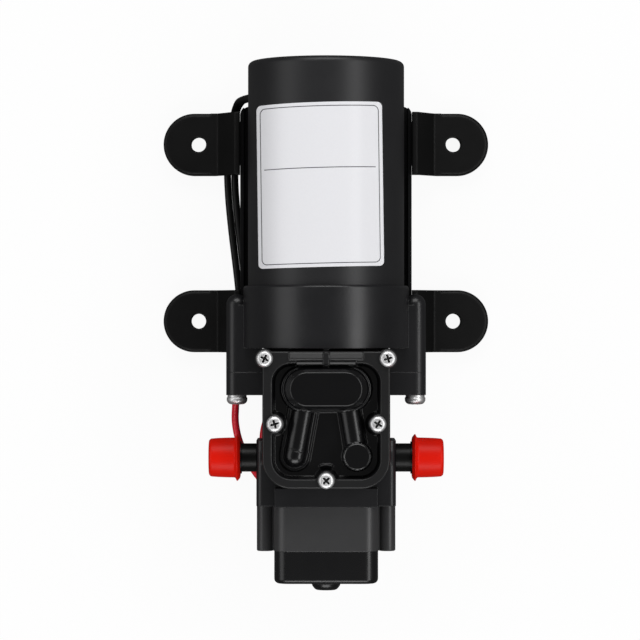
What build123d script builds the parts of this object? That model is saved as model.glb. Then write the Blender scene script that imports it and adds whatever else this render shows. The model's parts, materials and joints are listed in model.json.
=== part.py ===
from build123d import *
from math import cos, pi, radians, sin, tan
import os

# A small 12 V diaphragm water pump for a caravan, lying on its four rubber feet.
# Millimetres. +Y runs along the motor to its closed end, +Z is up, away from the floor.
# The origin is the centre of the four mounting holes, on the floor plane.

# Clearances shared by every piece.
over = 1.0              # how far a cut runs past the faces that it opens
seat_gap = 0.05         # round a piece that is pushed or screwed into its seat
run_gap = 0.05          # radial, round a piece that turns or slides
soft_gap = 0.1          # round a rubber or soft plastic piece
screw_gap = 0.05        # round a screw's shank

# Motor
can_r = 24.45
can_lift = 6.05         # the can's underside above the floor
can_wall = 1.5
can_end_y = 52.8
can_foot_y = -29.5
can_rim_fillet = 1.8
can_ring_out_r = 20.0
can_ring_in_r = 9.5
can_ring_depth = 0.6
bush_r = 5.0
bush_length = 4.5
bush_hub_wall = 1.6
shaft_r = 2.5
shaft_tip_gap = 0.6
magnet_thick = 4.0
magnet_length = 42.0
magnet_mid_y = 6.0
magnet_half_deg = 62.0
clip_thick = 0.8
clip_half_deg = 14.0
air_gap = 0.9
core_length = 30.0
core_end_y = 21.0
slot_count = 8
slot_r = 2.6
slot_neck_w = 1.6
winding_inset = 3.4
winding_overhang = 5.0
commutator_r = 8.0
commutator_length = 9.0
commutator_y = 27.4
card_thick = 2.4
card_y = 36.2
card_hole_r = 10.0
brush_w = 4.2
brush_h = 3.6
brush_share = 0.569     # of the room between the commutator and the holder's closed end
brush_wall = 0.6
brush_spring_r = 1.3
brush_spring_wall = 0.5
end_plate_thick = 3.0
bearing_out_r = 8.0
bearing_split_r = 5.2
bearing_width = 5.0
bearing_hub_wall = 2.0
end_plate_vent_r = 2.2
end_plate_vent_pitch_r = 15.5
end_plate_vents = 4
end_plate_vent_deg = 45.0

# Rating label: a thin sheet on the can, a little turned and off centre.
label_thick = 0.15
label_w = 38.0
label_h = 50.2
label_x = -1.75
label_y = 13.9
label_corner_r = 1.4
label_turn_deg = 1.8

# Grommet and leads
grommet_y = 42.8
grommet_deg = 35.0
grommet_r = 3.9
grommet_flange_r = 4.8
grommet_flange = 1.3
grommet_length = 4.6
lead_d = 2.3
splice_d = 3.4

# Crank housing
collar_wall = 1.45
collar_top_y = -17.35
collar_foot_y = -36.8
collar_rim_fillet = 0.9
pilot_r = 11.6
ear_reach = 2.0
ear_r = 3.4
ear_top_y = -20.0
ear_split_y = -44.5
ear_foot_y = -51.6
ear_web = 1.6
block_half_w = 13.0
block_top_y = -20.0
block_rise = -18.5
ear_shank_r = 1.9
ear_head_r = 3.25
ear_head_h = 1.9
washer_thick = 0.7
washer_r = 3.0
ear_screw_depth = 18.0
ear_turn_deg = 30.0

# Base bracket and feet
bracket_half_w = 27.5
bracket_thick = 1.2
bracket_web_z = 3.4
bracket_flange_z = 9.4
bracket_end_y = 40.7
bracket_corner_r = 3.0
saddle_half_w = 7.0
saddle_y = 31.0
saddle_half_l = 6.0
tab_length = 2.6
tab_half_w = 7.0
hole_x = 41.05
hole_y = 28.5
hole_r = 2.4
foot_w = 20.0
foot_end_x = 52.4
foot_pad = 4.5
foot_edge_fillet = 1.2
foot_heel_x = 35.8
foot_arch_x = 29.8
foot_arch_z = 7.2
foot_top_z = 12.4
foot_crease_x = 34.9
foot_shoulder_x = 29.2
foot_lap = 1.4
bracket_screw_x = 9.0
bracket_screw_y = -33.1
bracket_shank_r = 1.45
bracket_screw_depth = 9.0
bracket_head_r = 2.7
bracket_head_h = 1.7
saddle_screw_depth = 3.2
bracket_turn_deg = 10.0
saddle_turn_deg = 40.0

# Pump head: the flat pieces are stacked up from the body's top face.
body_top_rise = 14.5
plate_thick = 5.4
gasket_thick = 0.6
cover_floor = 2.6
cover_rim_rise = 27.5
head_half_w = 19.45
head_top_y = -37.6
head_foot_y = -79.5
head_corner_r = 8.9
head_rim_w = 3.3
head_recess_y = -41.6
screw_top_x = 18.75
screw_top_y = -39.85
screw_mid_x = 15.7
screw_mid_y = -59.7
screw_low_y = -76.9
boss_top_r = 3.0
boss_mid_r = 3.25
cover_shank_r = 1.4
cover_head_r = 2.55
cover_head_h = 1.8
cover_screw_rise = 8.0
cross_w = 0.75
cross_length = 2.9
cross_depth = 1.1
cross_turns_deg = (20.0, -28.0, 62.0, 15.0, 0.0)

# Cover relief
dome_y = -49.1
dome_w = 28.0
dome_h = 14.4
dome_base_rise = 26.9
step_w = 26.0
step_h = 13.0
step_rise = 28.5
crown_w = 21.5
crown_h = 10.0
crown_rise = 30.3
cavity_w = 24.0
cavity_h = 10.4
cavity_rise = 27.9
divider = 1.2
bar_half_w = 11.45
bar_h = 2.6
bar_rise = 28.0
band_half_w = 9.2
band_h = 1.4
band_rise = 26.7
gusset_half_w = 1.2
gusset_foot_y = -42.4
gusset_rise = 28.6
tube_r = 3.1
tube_rise = 23.9
channel_r = 1.5
left_tube_top = (-7.9, -54.6)
left_tube_foot = (-10.6, -70.2)
left_joint_share = 0.66
joint_ring_r = 3.3
joint_ring_w = 0.5
left_bed_r = 5.2
left_bed_rise = 24.3
right_tube_top = (7.9, -54.6)
right_tube_foot = (9.3, -69.6)
pot_r = 4.5
pot_rise = 27.7
pot_rim = 0.5
pot_dish = 0.35
rib_r = 5.0
rib_w = 1.0
rib_half_deg = 28.0
rib_rise = 24.7

# Pump body
body_half_w = 18.4
drum_r = 20.6
flange_rise = 11.0
chamber_r = 15.3
chamber_foot_y = -62.0
chamber_roof_rise = 11.0
well_r = 10.0
low_top_y = -65.4
low_foot_y = -85.6
low_step_w = 3.2
low_floor_rise = -10.5
low_side_rise = 13.5
low_edge_fillet = 2.0
ridge_half_w = 15.8
ridge_rise = 19.5
ridge_y = -79.8

# Ports and caps
port_y = -70.8
port_rise = 8.0
port_boss_r = 5.8
port_boss_sink = 1.2
port_bore_r = 2.0
spigot_r = 3.9
spigot_length = 4.6
nipple_r = 4.4
nipple_length = 4.6
stop_ring_r = 5.0
stop_ring_w = 0.7
barb_root_r = 4.1
barb_r = 4.9
barb_pitch = 2.6
barb_count = 3
seal_wire_r = 0.6
seal_inset = 2.3
cap_in_r = 5.2
cap_wall = 0.7
cap_flange_r = 7.25
cap_flange_w = 1.3
cap_length = 9.6
cap_end_wall = 0.9
cap_taper = 0.25
cap_bulge = 0.5

# Drive and diaphragm, which sit a little below the cover's dome
drive_y = -51.6
stroke = 1.0            # the eccentric's throw, which lifts and lowers the yoke
eccentric_r = 5.0
eccentric_width = 8.0
race_r = 7.5
race_width = 4.0
yoke_wall = 2.8
yoke_width = 7.0
yoke_head_r = 5.0
yoke_head_h = 3.0
diaphragm_thick = 1.6
diaphragm_r = 12.8
diaphragm_web = 0.8
diaphragm_hub_r = 4.4
piston_r = 3.9
piston_h = 1.7
piston_screw_r = 1.3
piston_screw_depth = 3.6
piston_head_r = 2.4
piston_head_h = 1.1
piston_turn_deg = 45.0
valve_x = 6.6
valve_r = 2.7
valve_disc = 0.7
valve_lift = 0.5
valve_stem_r = 0.8
valve_knob_r = 1.2
valve_knob_h = 0.5
pump_chamber_h = 3.0
flow_hole_r = 0.5
flow_pitch_r = 1.75
flow_holes = 6

# Pressure switch
switch_rise = 4.5
switch_half_h = 15.0
switch_foot_y = -100.3
switch_corner_r = 2.0
switch_inner_corner_r = 0.5
switch_boss_x = 19.0
switch_boss_r = 2.6
switch_boss_end = 0.8
switch_web_half_h = 1.3
switch_shank_r = 1.3
switch_head_r = 2.1
switch_head_h = 1.8
switch_head_sink = 2.4
switch_screw_depth = 9.0
switch_turn_deg = 20.0
cap_half_w = 16.0
switch_cap_y = -110.2
switch_wall = 1.8
switch_edge_fillet = 0.9
membrane_r = 9.3
membrane_thick = 1.6
sense_r = 7.0
sense_depth = 1.5
sense_bore_r = 1.0
sense_x = 6.0
sense_rise = 5.5
plunger_r = 5.9
guide_end_y = -92.0
plunger_end_y = -93.5
plunger_arm_x = 11.5
plunger_arm_half_h = 2.2
plunger_arm_w = 1.2
plunger_travel = 0.6
micro_out_x = 13.9
micro_in_x = 6.5
micro_top_y = -94.6
micro_length = 10.0
micro_half_h = 5.0
button_r = 0.9
button_x = 9.6
button_sink = 1.6
seat_r = 5.0
seat_thick = 2.2
seat_y = -101.6
spring_r = 4.4
spring_wire = 1.0
adjuster_r = 2.9
adjuster_head_r = 4.55
adjuster_head_h = 2.0
adjuster_tip_y = -99.0
adjuster_taper = 0.7
adjuster_hex_r = 1.8
adjuster_hex_depth = 1.4
adjuster_boss_r = 5.2
adjuster_boss_h = 3.6
blade_thick = 0.6
blade_w = 3.0
blade_y = -97.0
blade_x = (-12.4, -8.0)
blade_foot_rise = -16.3
sleeve_half_w = 1.7
sleeve_h = 4.4
sleeve_top_rise = -12.5
sleeve_length = 7.0

# Places worked out from the sizes above; a rise is measured from the motor's axis
axis_z = can_r + can_lift
can_in_r = can_r - can_wall
core_r = can_in_r - seat_gap - magnet_thick - air_gap
winding_r = core_r - winding_inset
collar_r = can_r + collar_wall
ear_x = collar_r + ear_reach
block_z = axis_z + block_rise
body_top_z = axis_z + body_top_rise
cover_rim_z = axis_z + cover_rim_rise
cover_screw_z = axis_z + cover_screw_rise
dome_base_z = axis_z + dome_base_rise
step_z = axis_z + step_rise
crown_z = axis_z + crown_rise
cavity_z = axis_z + cavity_rise
bar_z = axis_z + bar_rise
band_z = axis_z + band_rise
gusset_z = axis_z + gusset_rise
tube_z = axis_z + tube_rise
left_bed_z = axis_z + left_bed_rise
pot_z = axis_z + pot_rise
rib_z = axis_z + rib_rise
flange_z = axis_z + flange_rise
chamber_roof_z = axis_z + chamber_roof_rise
low_floor_z = axis_z + low_floor_rise
low_side_z = axis_z + low_side_rise
ridge_z = axis_z + ridge_rise
port_z = axis_z + port_rise
sense_z = axis_z + sense_rise
switch_z = axis_z + switch_rise
blade_foot_z = axis_z + blade_foot_rise
sleeve_top_z = axis_z + sleeve_top_rise
core_start_y = core_end_y - core_length
holder_end_x = can_in_r - magnet_thick / 2
brush_in_x = commutator_r + run_gap
brush_out_x = brush_in_x + brush_share * (holder_end_x - brush_wall - brush_in_x)
ear_inner_x = body_half_w + ear_web
low_half_w = body_half_w + low_step_w
port_boss_x = low_half_w - port_boss_sink
nipple_end_x = low_half_w + nipple_length
plate_z = body_top_z + plate_thick
gasket_z = plate_z + gasket_thick
cover_floor_z = gasket_z + cover_floor
pump_roof_z = body_top_z + pump_chamber_h
yoke_bore_r = race_r + 2 * stroke + soft_gap
yoke_ring_r = yoke_bore_r + yoke_wall
cap_in_x = nipple_end_x + stop_ring_w + soft_gap
cap_end_x = cap_in_x + cap_length
screw_places = (
    (-screw_top_x, screw_top_y, boss_top_r),
    (screw_top_x, screw_top_y, boss_top_r),
    (-screw_mid_x, screw_mid_y, boss_mid_r),
    (screw_mid_x, screw_mid_y, boss_mid_r),
    (0, screw_low_y, boss_mid_r),
)

# Routes of the leads, chosen by hand from the photographed runs. The two black ones drop from the
# grommet, pass under the left feet and end in splices under the left ear.
arc_share = 0.45
grommet_x = -can_r * cos(radians(grommet_deg))
grommet_z = axis_z - can_r * sin(radians(grommet_deg))
black_outer_route = (
    (grommet_x - 1.82, grommet_y, grommet_z + 0.27), (grommet_x - 4.12, grommet_y, grommet_z - 1.34),
    (-26.6, 42.4, 12.0), (-28.2, 41.9, 8.2),
    (-29.3, 39.6, 4.8), (-30.5, 34.4, 3.8), (-31.4, 27.6, 2.5), (-31.9, 20.0, 1.5),
    (-31.5, 11.0, 1.35), (-30.4, 0.0, 1.35), (-29.0, -11.0, 1.35), (-27.9, -21.0, 1.35),
    (-27.7, -30.5, 1.35), (-28.1, -38.6, 1.8), (-28.4, -44.6, 5.0),
)
black_inner_route = (
    (grommet_x - 0.38, grommet_y, grommet_z - 1.77), (grommet_x - 2.42, grommet_y, grommet_z - 3.2),
    (-24.8, 42.9, 9.5), (-27.0, 42.6, 5.0),
    (-28.8, 40.2, 1.9), (-29.3, 34.6, 1.35), (-28.9, 28.4, 1.3), (-29.2, 20.5, 1.35),
    (-28.9, 11.5, 1.35), (-27.8, 1.0, 1.35), (-26.4, -10.0, 1.35), (-25.35, -20.5, 1.35),
    (-24.9, -29.8, 1.35), (-24.4, -37.2, 1.8), (-22.4, -42.8, 4.2),
)
red_end_z = sleeve_top_z - sleeve_h / 2
red_outer_route = (
    (-28.68, -50.24, 8.01), (-28.9, -54.65, red_end_z - 5.44), (-29.1, -60.5, red_end_z - 2.6),
    (-28.0, -66.0, red_end_z - 0.8), (-25.4, -72.0, red_end_z + 0.2), (-22.1, -77.2, red_end_z + 0.4),
    (-17.8, -82.2, red_end_z + 0.2), (-14.0, -86.6, red_end_z + 0.1), (-12.4, -90.0, red_end_z),
    (-12.4, -93.45, red_end_z),
)
red_inner_route = (
    (-20.4, -48.4, 6.6), (-18.7, -53.16, 8.64), (-18.7, -58.8, red_end_z - 4.6),
    (-20.2, -64.4, red_end_z - 2.4), (-19.9, -70.2, red_end_z - 1.0), (-17.7, -75.8, red_end_z - 0.3),
    (-14.2, -80.8, red_end_z), (-10.6, -85.6, red_end_z + 0.1), (-8.0, -89.8, red_end_z),
    (-8.0, -93.45, red_end_z),
)


def block(x_start, x_end, y_start, y_end, z_start, z_end):
    """A box between two corners."""
    size = (x_end - x_start, y_end - y_start, z_end - z_start)
    middle = ((x_start + x_end) / 2, (y_start + y_end) / 2, (z_start + z_end) / 2)
    return Pos(*middle) * Box(*size)


def rod_x(radius, x_start, x_end, y, z):
    """A round bar along X."""
    return Pos((x_start + x_end) / 2, y, z) * Rot(0, 90, 0) * Cylinder(radius, abs(x_end - x_start))


def rod_y(radius, y_start, y_end, x=0, z=axis_z):
    """A round bar along Y, on the motor's axis unless told otherwise."""
    return Pos(x, (y_start + y_end) / 2, z) * Rot(90, 0, 0) * Cylinder(radius, abs(y_end - y_start))


def rod_z(radius, z_start, z_end, x, y):
    """A round bar along Z."""
    return Pos(x, y, (z_start + z_end) / 2) * Cylinder(radius, abs(z_end - z_start))


def raised(sketch, z_start, z_end):
    """A flat outline in X and Y, made solid between two heights."""
    return extrude(Pos(0, 0, z_start) * sketch, amount=z_end - z_start)


def both_sides(shape):
    """A shape and its mirror image on the other side of the motor."""
    return shape + mirror(shape, about=Plane.YZ)


def motor_can():
    """The drawn steel can, closed at its far end, with a hub inside for the rear bush."""
    can = rod_y(can_r, can_foot_y, can_end_y)
    far = can.edges().filter_by(GeomType.CIRCLE).sort_by(Axis.Y)[-1]
    can = fillet(far, can_rim_fillet)
    can -= rod_y(can_in_r, can_foot_y - over, can_end_y - can_wall)
    dish_y = can_end_y - can_ring_depth
    can -= rod_y(can_ring_out_r, dish_y, can_end_y + over) - rod_y(can_ring_in_r, dish_y, can_end_y + over)
    hub_y = can_end_y - can_wall - bush_length
    can += rod_y(bush_r + bush_hub_wall, hub_y, can_end_y - can_wall)
    can -= rod_y(bush_r + seat_gap, hub_y - over, can_end_y - can_wall)
    can -= grommet_shape(grommet_r + seat_gap, -grommet_length - over, over)
    can -= rod_z(bracket_shank_r + screw_gap, 0, axis_z - can_in_r + over, 0, saddle_y)
    return can


def grommet_shape(radius, start, end):
    """A round bar through the can's lower left side, measured outwards from the can's surface."""
    bar = Pos(0, 0, can_r + (start + end) / 2) * Cylinder(radius, end - start)
    return Pos(0, grommet_y, axis_z) * Rot(0, -90 - grommet_deg, 0) * bar


def lead_grommet():
    """A rubber bush in the can's wall; the leads leave from its flange."""
    flange = grommet_shape(grommet_flange_r, 0, grommet_flange)
    stem = grommet_shape(grommet_r, -grommet_length + grommet_flange, grommet_flange)
    body = flange - rod_y(can_r + soft_gap / 2, grommet_y - 2 * grommet_r, grommet_y + 2 * grommet_r)
    body += stem
    return body


def rear_bush():
    """The sintered bush that carries the shaft in the can's closed end."""
    foot = can_end_y - can_wall - bush_length
    top = can_end_y - can_wall
    return rod_y(bush_r, foot, top) - rod_y(shaft_r + run_gap, foot - over, top + over)


def sector(r_out, r_in, y_start, y_end, mid_deg, half_deg):
    """A curved slab round the motor's axis; the angle runs from +X towards +Z."""
    section = Pos((r_in + r_out) / 2, (y_start + y_end) / 2) * Rectangle(r_out - r_in, y_end - y_start)
    slab = revolve(section, Axis.Y, 2 * half_deg)
    return Pos(0, 0, axis_z) * Rot(0, -mid_deg - half_deg, 0) * slab


def field_magnets():
    """Two arc magnets against the can's wall, left and right."""
    start = magnet_mid_y - magnet_length / 2
    end = magnet_mid_y + magnet_length / 2
    out_r = can_in_r - seat_gap
    return Part() + [
        sector(out_r, out_r - magnet_thick, start, end, mid, magnet_half_deg) for mid in (0, 180)
    ]


def magnet_clip():
    """A sprung steel strip above the magnets, between their edges."""
    start = magnet_mid_y - magnet_length / 2
    end = magnet_mid_y + magnet_length / 2
    out_r = can_in_r - seat_gap
    return sector(out_r, out_r - clip_thick, start, end, 90, clip_half_deg)


def armature_core():
    """The stack of steel sheets on the shaft, with slots for the windings."""
    start = core_start_y
    end = core_end_y
    core = rod_y(core_r, start, end) - rod_y(shaft_r + seat_gap, start - over, end + over)
    pitch_r = core_r - slot_r - 2 * slot_neck_w
    for step in range(slot_count):
        turn = Pos(0, 0, axis_z) * Rot(0, step * 360 / slot_count, 0)
        pocket = rod_y(slot_r, start - over, end + over, pitch_r, 0)
        neck = block(pitch_r, core_r + over, start - over, end + over, -slot_neck_w / 2, slot_neck_w / 2)
        core -= turn * (pocket + neck)
    return core


def armature_windings():
    """The copper coils: a wound ring past each end of the core and a bundle in each slot."""
    start = core_start_y
    end = core_end_y
    coil = Part()
    for near, far in ((start - winding_overhang, start), (end, end + winding_overhang)):
        coil += rod_y(winding_r, near, far) - rod_y(shaft_r + over, near - over, far + over)
    pitch_r = core_r - slot_r - 2 * slot_neck_w
    for step in range(slot_count):
        turn = Pos(0, 0, axis_z) * Rot(0, step * 360 / slot_count, 0)
        coil += turn * rod_y(slot_r - seat_gap, start, end, pitch_r, 0)
    return coil


def commutator():
    """The copper commutator drum behind the windings."""
    end = commutator_y + commutator_length
    drum = rod_y(commutator_r, commutator_y, end)
    return drum - rod_y(shaft_r + seat_gap, commutator_y - over, end + over)


def motor_shaft():
    """The steel shaft from the rear bush to the eccentric."""
    start = drive_y - eccentric_width / 2
    end = can_end_y - can_wall - shaft_tip_gap
    return rod_y(shaft_r, start, end)


def brush_card():
    """The insulating disc that carries the brush holders."""
    card = rod_y(can_in_r - seat_gap, card_y, card_y + card_thick)
    return card - rod_y(card_hole_r, card_y - over, card_y + card_thick + over)


def brush_place(side, near, far, half_w, half_h):
    """A box along X beside the commutator, under the brush card."""
    mid_y = card_y - brush_h / 2 - brush_wall
    x_start, x_end = sorted((side * near, side * far))
    return block(x_start, x_end, mid_y - half_h, mid_y + half_h, axis_z - half_w, axis_z + half_w)


def carbon_brushes():
    """Two carbon blocks that press on the commutator."""
    bricks = [brush_place(s, brush_in_x, brush_out_x, brush_w / 2, brush_h / 2) for s in (-1, 1)]
    groove = rod_y(brush_in_x, commutator_y, commutator_y + commutator_length)
    return (Part() + bricks) - groove


def brush_holders():
    """Two brass boxes on the card, closed at the outer end, that guide the brushes."""
    near = commutator_r + brush_wall
    far = holder_end_x
    holders = Part()
    for side in (-1, 1):
        outer = brush_place(side, near, far, brush_w / 2 + brush_wall, brush_h / 2 + brush_wall)
        inner_far = far - brush_wall
        hollow = brush_place(side, 0, inner_far, brush_w / 2 + seat_gap, brush_h / 2 + seat_gap)
        holders += outer - hollow
    return holders


def brush_springs():
    """Two small springs behind the brushes, as plain sleeves."""
    start = brush_out_x
    end = holder_end_x - brush_wall
    mid_y = card_y - brush_h / 2 - brush_wall
    springs = Part()
    for side in (-1, 1):
        sleeve = rod_x(brush_spring_r, side * start, side * end, mid_y, axis_z)
        hollow_r = brush_spring_r - brush_spring_wall
        springs += sleeve - rod_x(hollow_r, side * (start - over), side * (end + over), mid_y, axis_z)
    return springs


def motor_end_plate():
    """The plate in the can's open end, with a hub for the front bearing and vent holes."""
    top = can_foot_y + end_plate_thick
    hub_foot = top - bearing_width - bearing_hub_wall / 2
    hub_r = bearing_out_r + bearing_hub_wall
    plate = rod_y(can_in_r - seat_gap, can_foot_y, top) + rod_y(hub_r, hub_foot, top)
    plate -= rod_y(bearing_out_r + seat_gap, top - bearing_width, top + over)
    plate -= rod_y(bearing_split_r + over, hub_foot - over, top + over)
    for step in range(end_plate_vents):
        angle = radians(end_plate_vent_deg + step * 360 / end_plate_vents)
        x = end_plate_vent_pitch_r * cos(angle)
        z = axis_z + end_plate_vent_pitch_r * sin(angle)
        plate -= rod_y(end_plate_vent_r, can_foot_y - over, top + over, x, z)
    return plate


def bearing_ring(r_out, r_in):
    """One ring of the front bearing."""
    top = can_foot_y + end_plate_thick
    foot = top - bearing_width
    return rod_y(r_out, foot, top) - rod_y(r_in, foot - over, top + over)


def rating_label():
    """A thin printed sheet on the can, kept blank."""
    sheet = rod_y(can_r + label_thick, can_foot_y, can_end_y) - rod_y(can_r, can_foot_y - over, can_end_y + over)
    outline = Pos(label_x, label_y) * Rot(0, 0, label_turn_deg) * RectangleRounded(label_w, label_h, label_corner_r)
    return sheet & raised(outline, axis_z, axis_z + 2 * can_r)


def ear_column(y_start, y_end, grow=0):
    """The right-hand ear's section, a bar with a round outer side, between two heights along Y."""
    column = rod_y(ear_r + grow, y_start, y_end, ear_x)
    low, high = sorted((y_start, y_end))
    return column + block(ear_inner_x, ear_x, low, high, axis_z - ear_r - grow, axis_z + ear_r + grow)


def crank_housing():
    """The ring that holds the can's open end, with a screw ear on each side and a foot block."""
    ring = rod_y(collar_r, collar_foot_y, collar_top_y)
    rim = ring.edges().filter_by(GeomType.CIRCLE).sort_by(Axis.Y)[-1]
    ring = fillet(rim, collar_rim_fillet)
    web_z = bracket_web_z + bracket_thick
    ring += block(-block_half_w, block_half_w, collar_foot_y, block_top_y, web_z, block_z)
    ear = ear_column(ear_split_y, ear_top_y - ear_r) + Pos(ear_x, ear_top_y - ear_r, axis_z) * Sphere(ear_r)
    ear -= rod_y(ear_shank_r + screw_gap, ear_split_y - over, ear_foot_y + ear_screw_depth + over, ear_x)
    inside = rod_y(can_r + seat_gap, can_foot_y, collar_top_y + over)
    inside += rod_y(pilot_r, collar_foot_y - over, can_foot_y + over)
    ring += both_sides(ear)
    ring -= inside
    for side in (-1, 1):
        x = side * bracket_screw_x
        ring -= rod_z(bracket_shank_r + screw_gap, 0, web_z + bracket_screw_depth, x, bracket_screw_y)
    return ring


def cross_screw(head_r, head_h, shank_r, shank_length, turn_deg):
    """A pan head screw with a cross recess, its seat on the origin and its head up."""
    head = Pos(0, 0, head_h / 2) * Cylinder(head_r, head_h)
    head = fillet(head.edges().filter_by(GeomType.CIRCLE).sort_by(Axis.Z)[-1], head_h / 2)
    size_share = head_r / cover_head_r
    for angle in (turn_deg, turn_deg + 90):
        bit = Box(cross_length * size_share, cross_w * size_share, 2 * cross_depth * size_share)
        head -= Pos(0, 0, head_h) * Rot(0, 0, angle) * bit
    return head + Pos(0, 0, -shank_length / 2) * Cylinder(shank_r, shank_length)


def ear_screws():
    """The two long screws that clamp the pump body and the crank housing together."""
    seat_y = ear_foot_y - washer_thick
    screw = cross_screw(ear_head_r, ear_head_h, ear_shank_r, ear_screw_depth + washer_thick, ear_turn_deg)
    return Part() + [Pos(x, seat_y, axis_z) * Rot(90, 0, 0) * screw for x in (-ear_x, ear_x)]


def ear_washers():
    """A sprung washer under each ear screw's head."""
    washer = rod_y(washer_r, ear_foot_y - washer_thick, ear_foot_y, ear_x)
    washer -= rod_y(ear_shank_r + screw_gap, ear_foot_y - 2 * washer_thick, ear_foot_y + over, ear_x)
    return both_sides(washer)


def base_bracket():
    """The steel channel under the motor, with a saddle for the can and four tabs for the feet."""
    top = bracket_web_z + bracket_thick
    mid_y = (bracket_end_y + collar_foot_y) / 2
    outline = Pos(0, mid_y) * RectangleRounded(2 * bracket_half_w, bracket_end_y - collar_foot_y, bracket_corner_r)
    pan = raised(outline, bracket_web_z, bracket_flange_z)
    inner = bracket_half_w - bracket_thick
    pan -= block(-inner, inner, collar_foot_y - over, bracket_end_y + over, top, bracket_flange_z + over)
    saddle = block(
        -saddle_half_w, saddle_half_w, saddle_y - saddle_half_l, saddle_y + saddle_half_l, top, axis_z - can_in_r
    )
    pan += saddle - rod_y(can_r + seat_gap, can_foot_y, can_end_y)
    tab_z = bracket_flange_z - bracket_thick
    for y in (-hole_y, hole_y):
        tab = block(inner, bracket_half_w + tab_length, y - tab_half_w, y + tab_half_w, tab_z, bracket_flange_z)
        pan += both_sides(tab)
    for x, y in ((-bracket_screw_x, bracket_screw_y), (bracket_screw_x, bracket_screw_y), (0, saddle_y)):
        pan -= rod_z(bracket_shank_r + screw_gap, 0, block_z, x, y)
    return pan


def bracket_screws():
    """Three low screws from below: two into the crank housing, one into the can."""
    depth = bracket_thick + bracket_screw_depth
    front = cross_screw(bracket_head_r, bracket_head_h, bracket_shank_r, depth, bracket_turn_deg)
    rear_depth = axis_z - can_r - bracket_web_z + saddle_screw_depth
    rear = cross_screw(bracket_head_r, bracket_head_h, bracket_shank_r, rear_depth, saddle_turn_deg)
    down = Rot(180, 0, 0)
    return Part() + [
        Pos(-bracket_screw_x, bracket_screw_y, bracket_web_z) * down * front,
        Pos(bracket_screw_x, bracket_screw_y, bracket_web_z) * down * front,
        Pos(0, saddle_y, bracket_web_z) * down * rear,
    ]


def foot(side, y):
    """A rubber foot: a flat pad with a mounting hole and a slanted riser that boots the bracket's tab."""
    mid_x = foot_end_x - foot_w / 2
    plan = Pos(mid_x, 0) * Circle(foot_w / 2)
    plan += Pos((mid_x + foot_heel_x) / 2, 0) * Rectangle(mid_x - foot_heel_x, foot_w)
    plan &= Pos((foot_end_x + foot_heel_x) / 2, 0) * Rectangle(foot_end_x - foot_heel_x, foot_w)
    pad = raised(plan, 0, foot_pad)
    pad = fillet(pad.edges().group_by(Axis.Z)[-1], foot_edge_fillet)
    boot_x = bracket_half_w + soft_gap
    side_line = Polyline(
        (foot_heel_x + foot_lap, 0), (foot_heel_x, 0), (foot_arch_x, foot_arch_z), (boot_x, foot_arch_z),
        (boot_x, foot_top_z), (foot_shoulder_x, foot_top_z), (foot_crease_x, foot_pad),
        (foot_heel_x + foot_lap, foot_pad), close=True,
    )
    riser = Pos(0, foot_w / 2, 0) * extrude(Plane.XZ * make_face(side_line), amount=foot_w)
    shape = pad + riser - rod_z(hole_r, -over, foot_pad + over, hole_x, 0)
    tab_z = bracket_flange_z - bracket_thick
    shape -= block(
        boot_x - over, bracket_half_w + tab_length + soft_gap,
        -tab_half_w - soft_gap, tab_half_w + soft_gap, tab_z - soft_gap, bracket_flange_z + soft_gap,
    )
    if side < 0:
        shape = mirror(shape, about=Plane.YZ)
    return Pos(0, y, 0) * shape


def head_outline(inset=0):
    """The pump head's outline from above: square at the top, round at the lower corners."""
    height = head_top_y - head_foot_y
    mid_y = (head_top_y + head_foot_y) / 2
    shape = Pos(0, mid_y) * RectangleRounded(2 * (head_half_w - inset), height - 2 * inset, head_corner_r - inset)
    upper = Rectangle(2 * (head_half_w - inset), height / 2 - inset)
    shape += Pos(0, head_top_y - height / 4 - inset / 2) * upper
    for x in (-screw_top_x, screw_top_x):
        shape += Pos(x, screw_top_y) * Circle(boss_top_r - inset)
    return shape


def screw_holes(z_start, z_end):
    """The five cover screws' clearance holes."""
    return Part() + [rod_z(cover_shank_r + screw_gap, z_start, z_end, x, y) for x, y, r in screw_places]


def water_ways(z_start, z_end):
    """The two upright passages between the cover's channels and the ports."""
    return rod_z(channel_r, z_start, z_end, *left_tube_foot) + rod_z(channel_r, z_start, z_end, *right_tube_foot)


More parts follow.
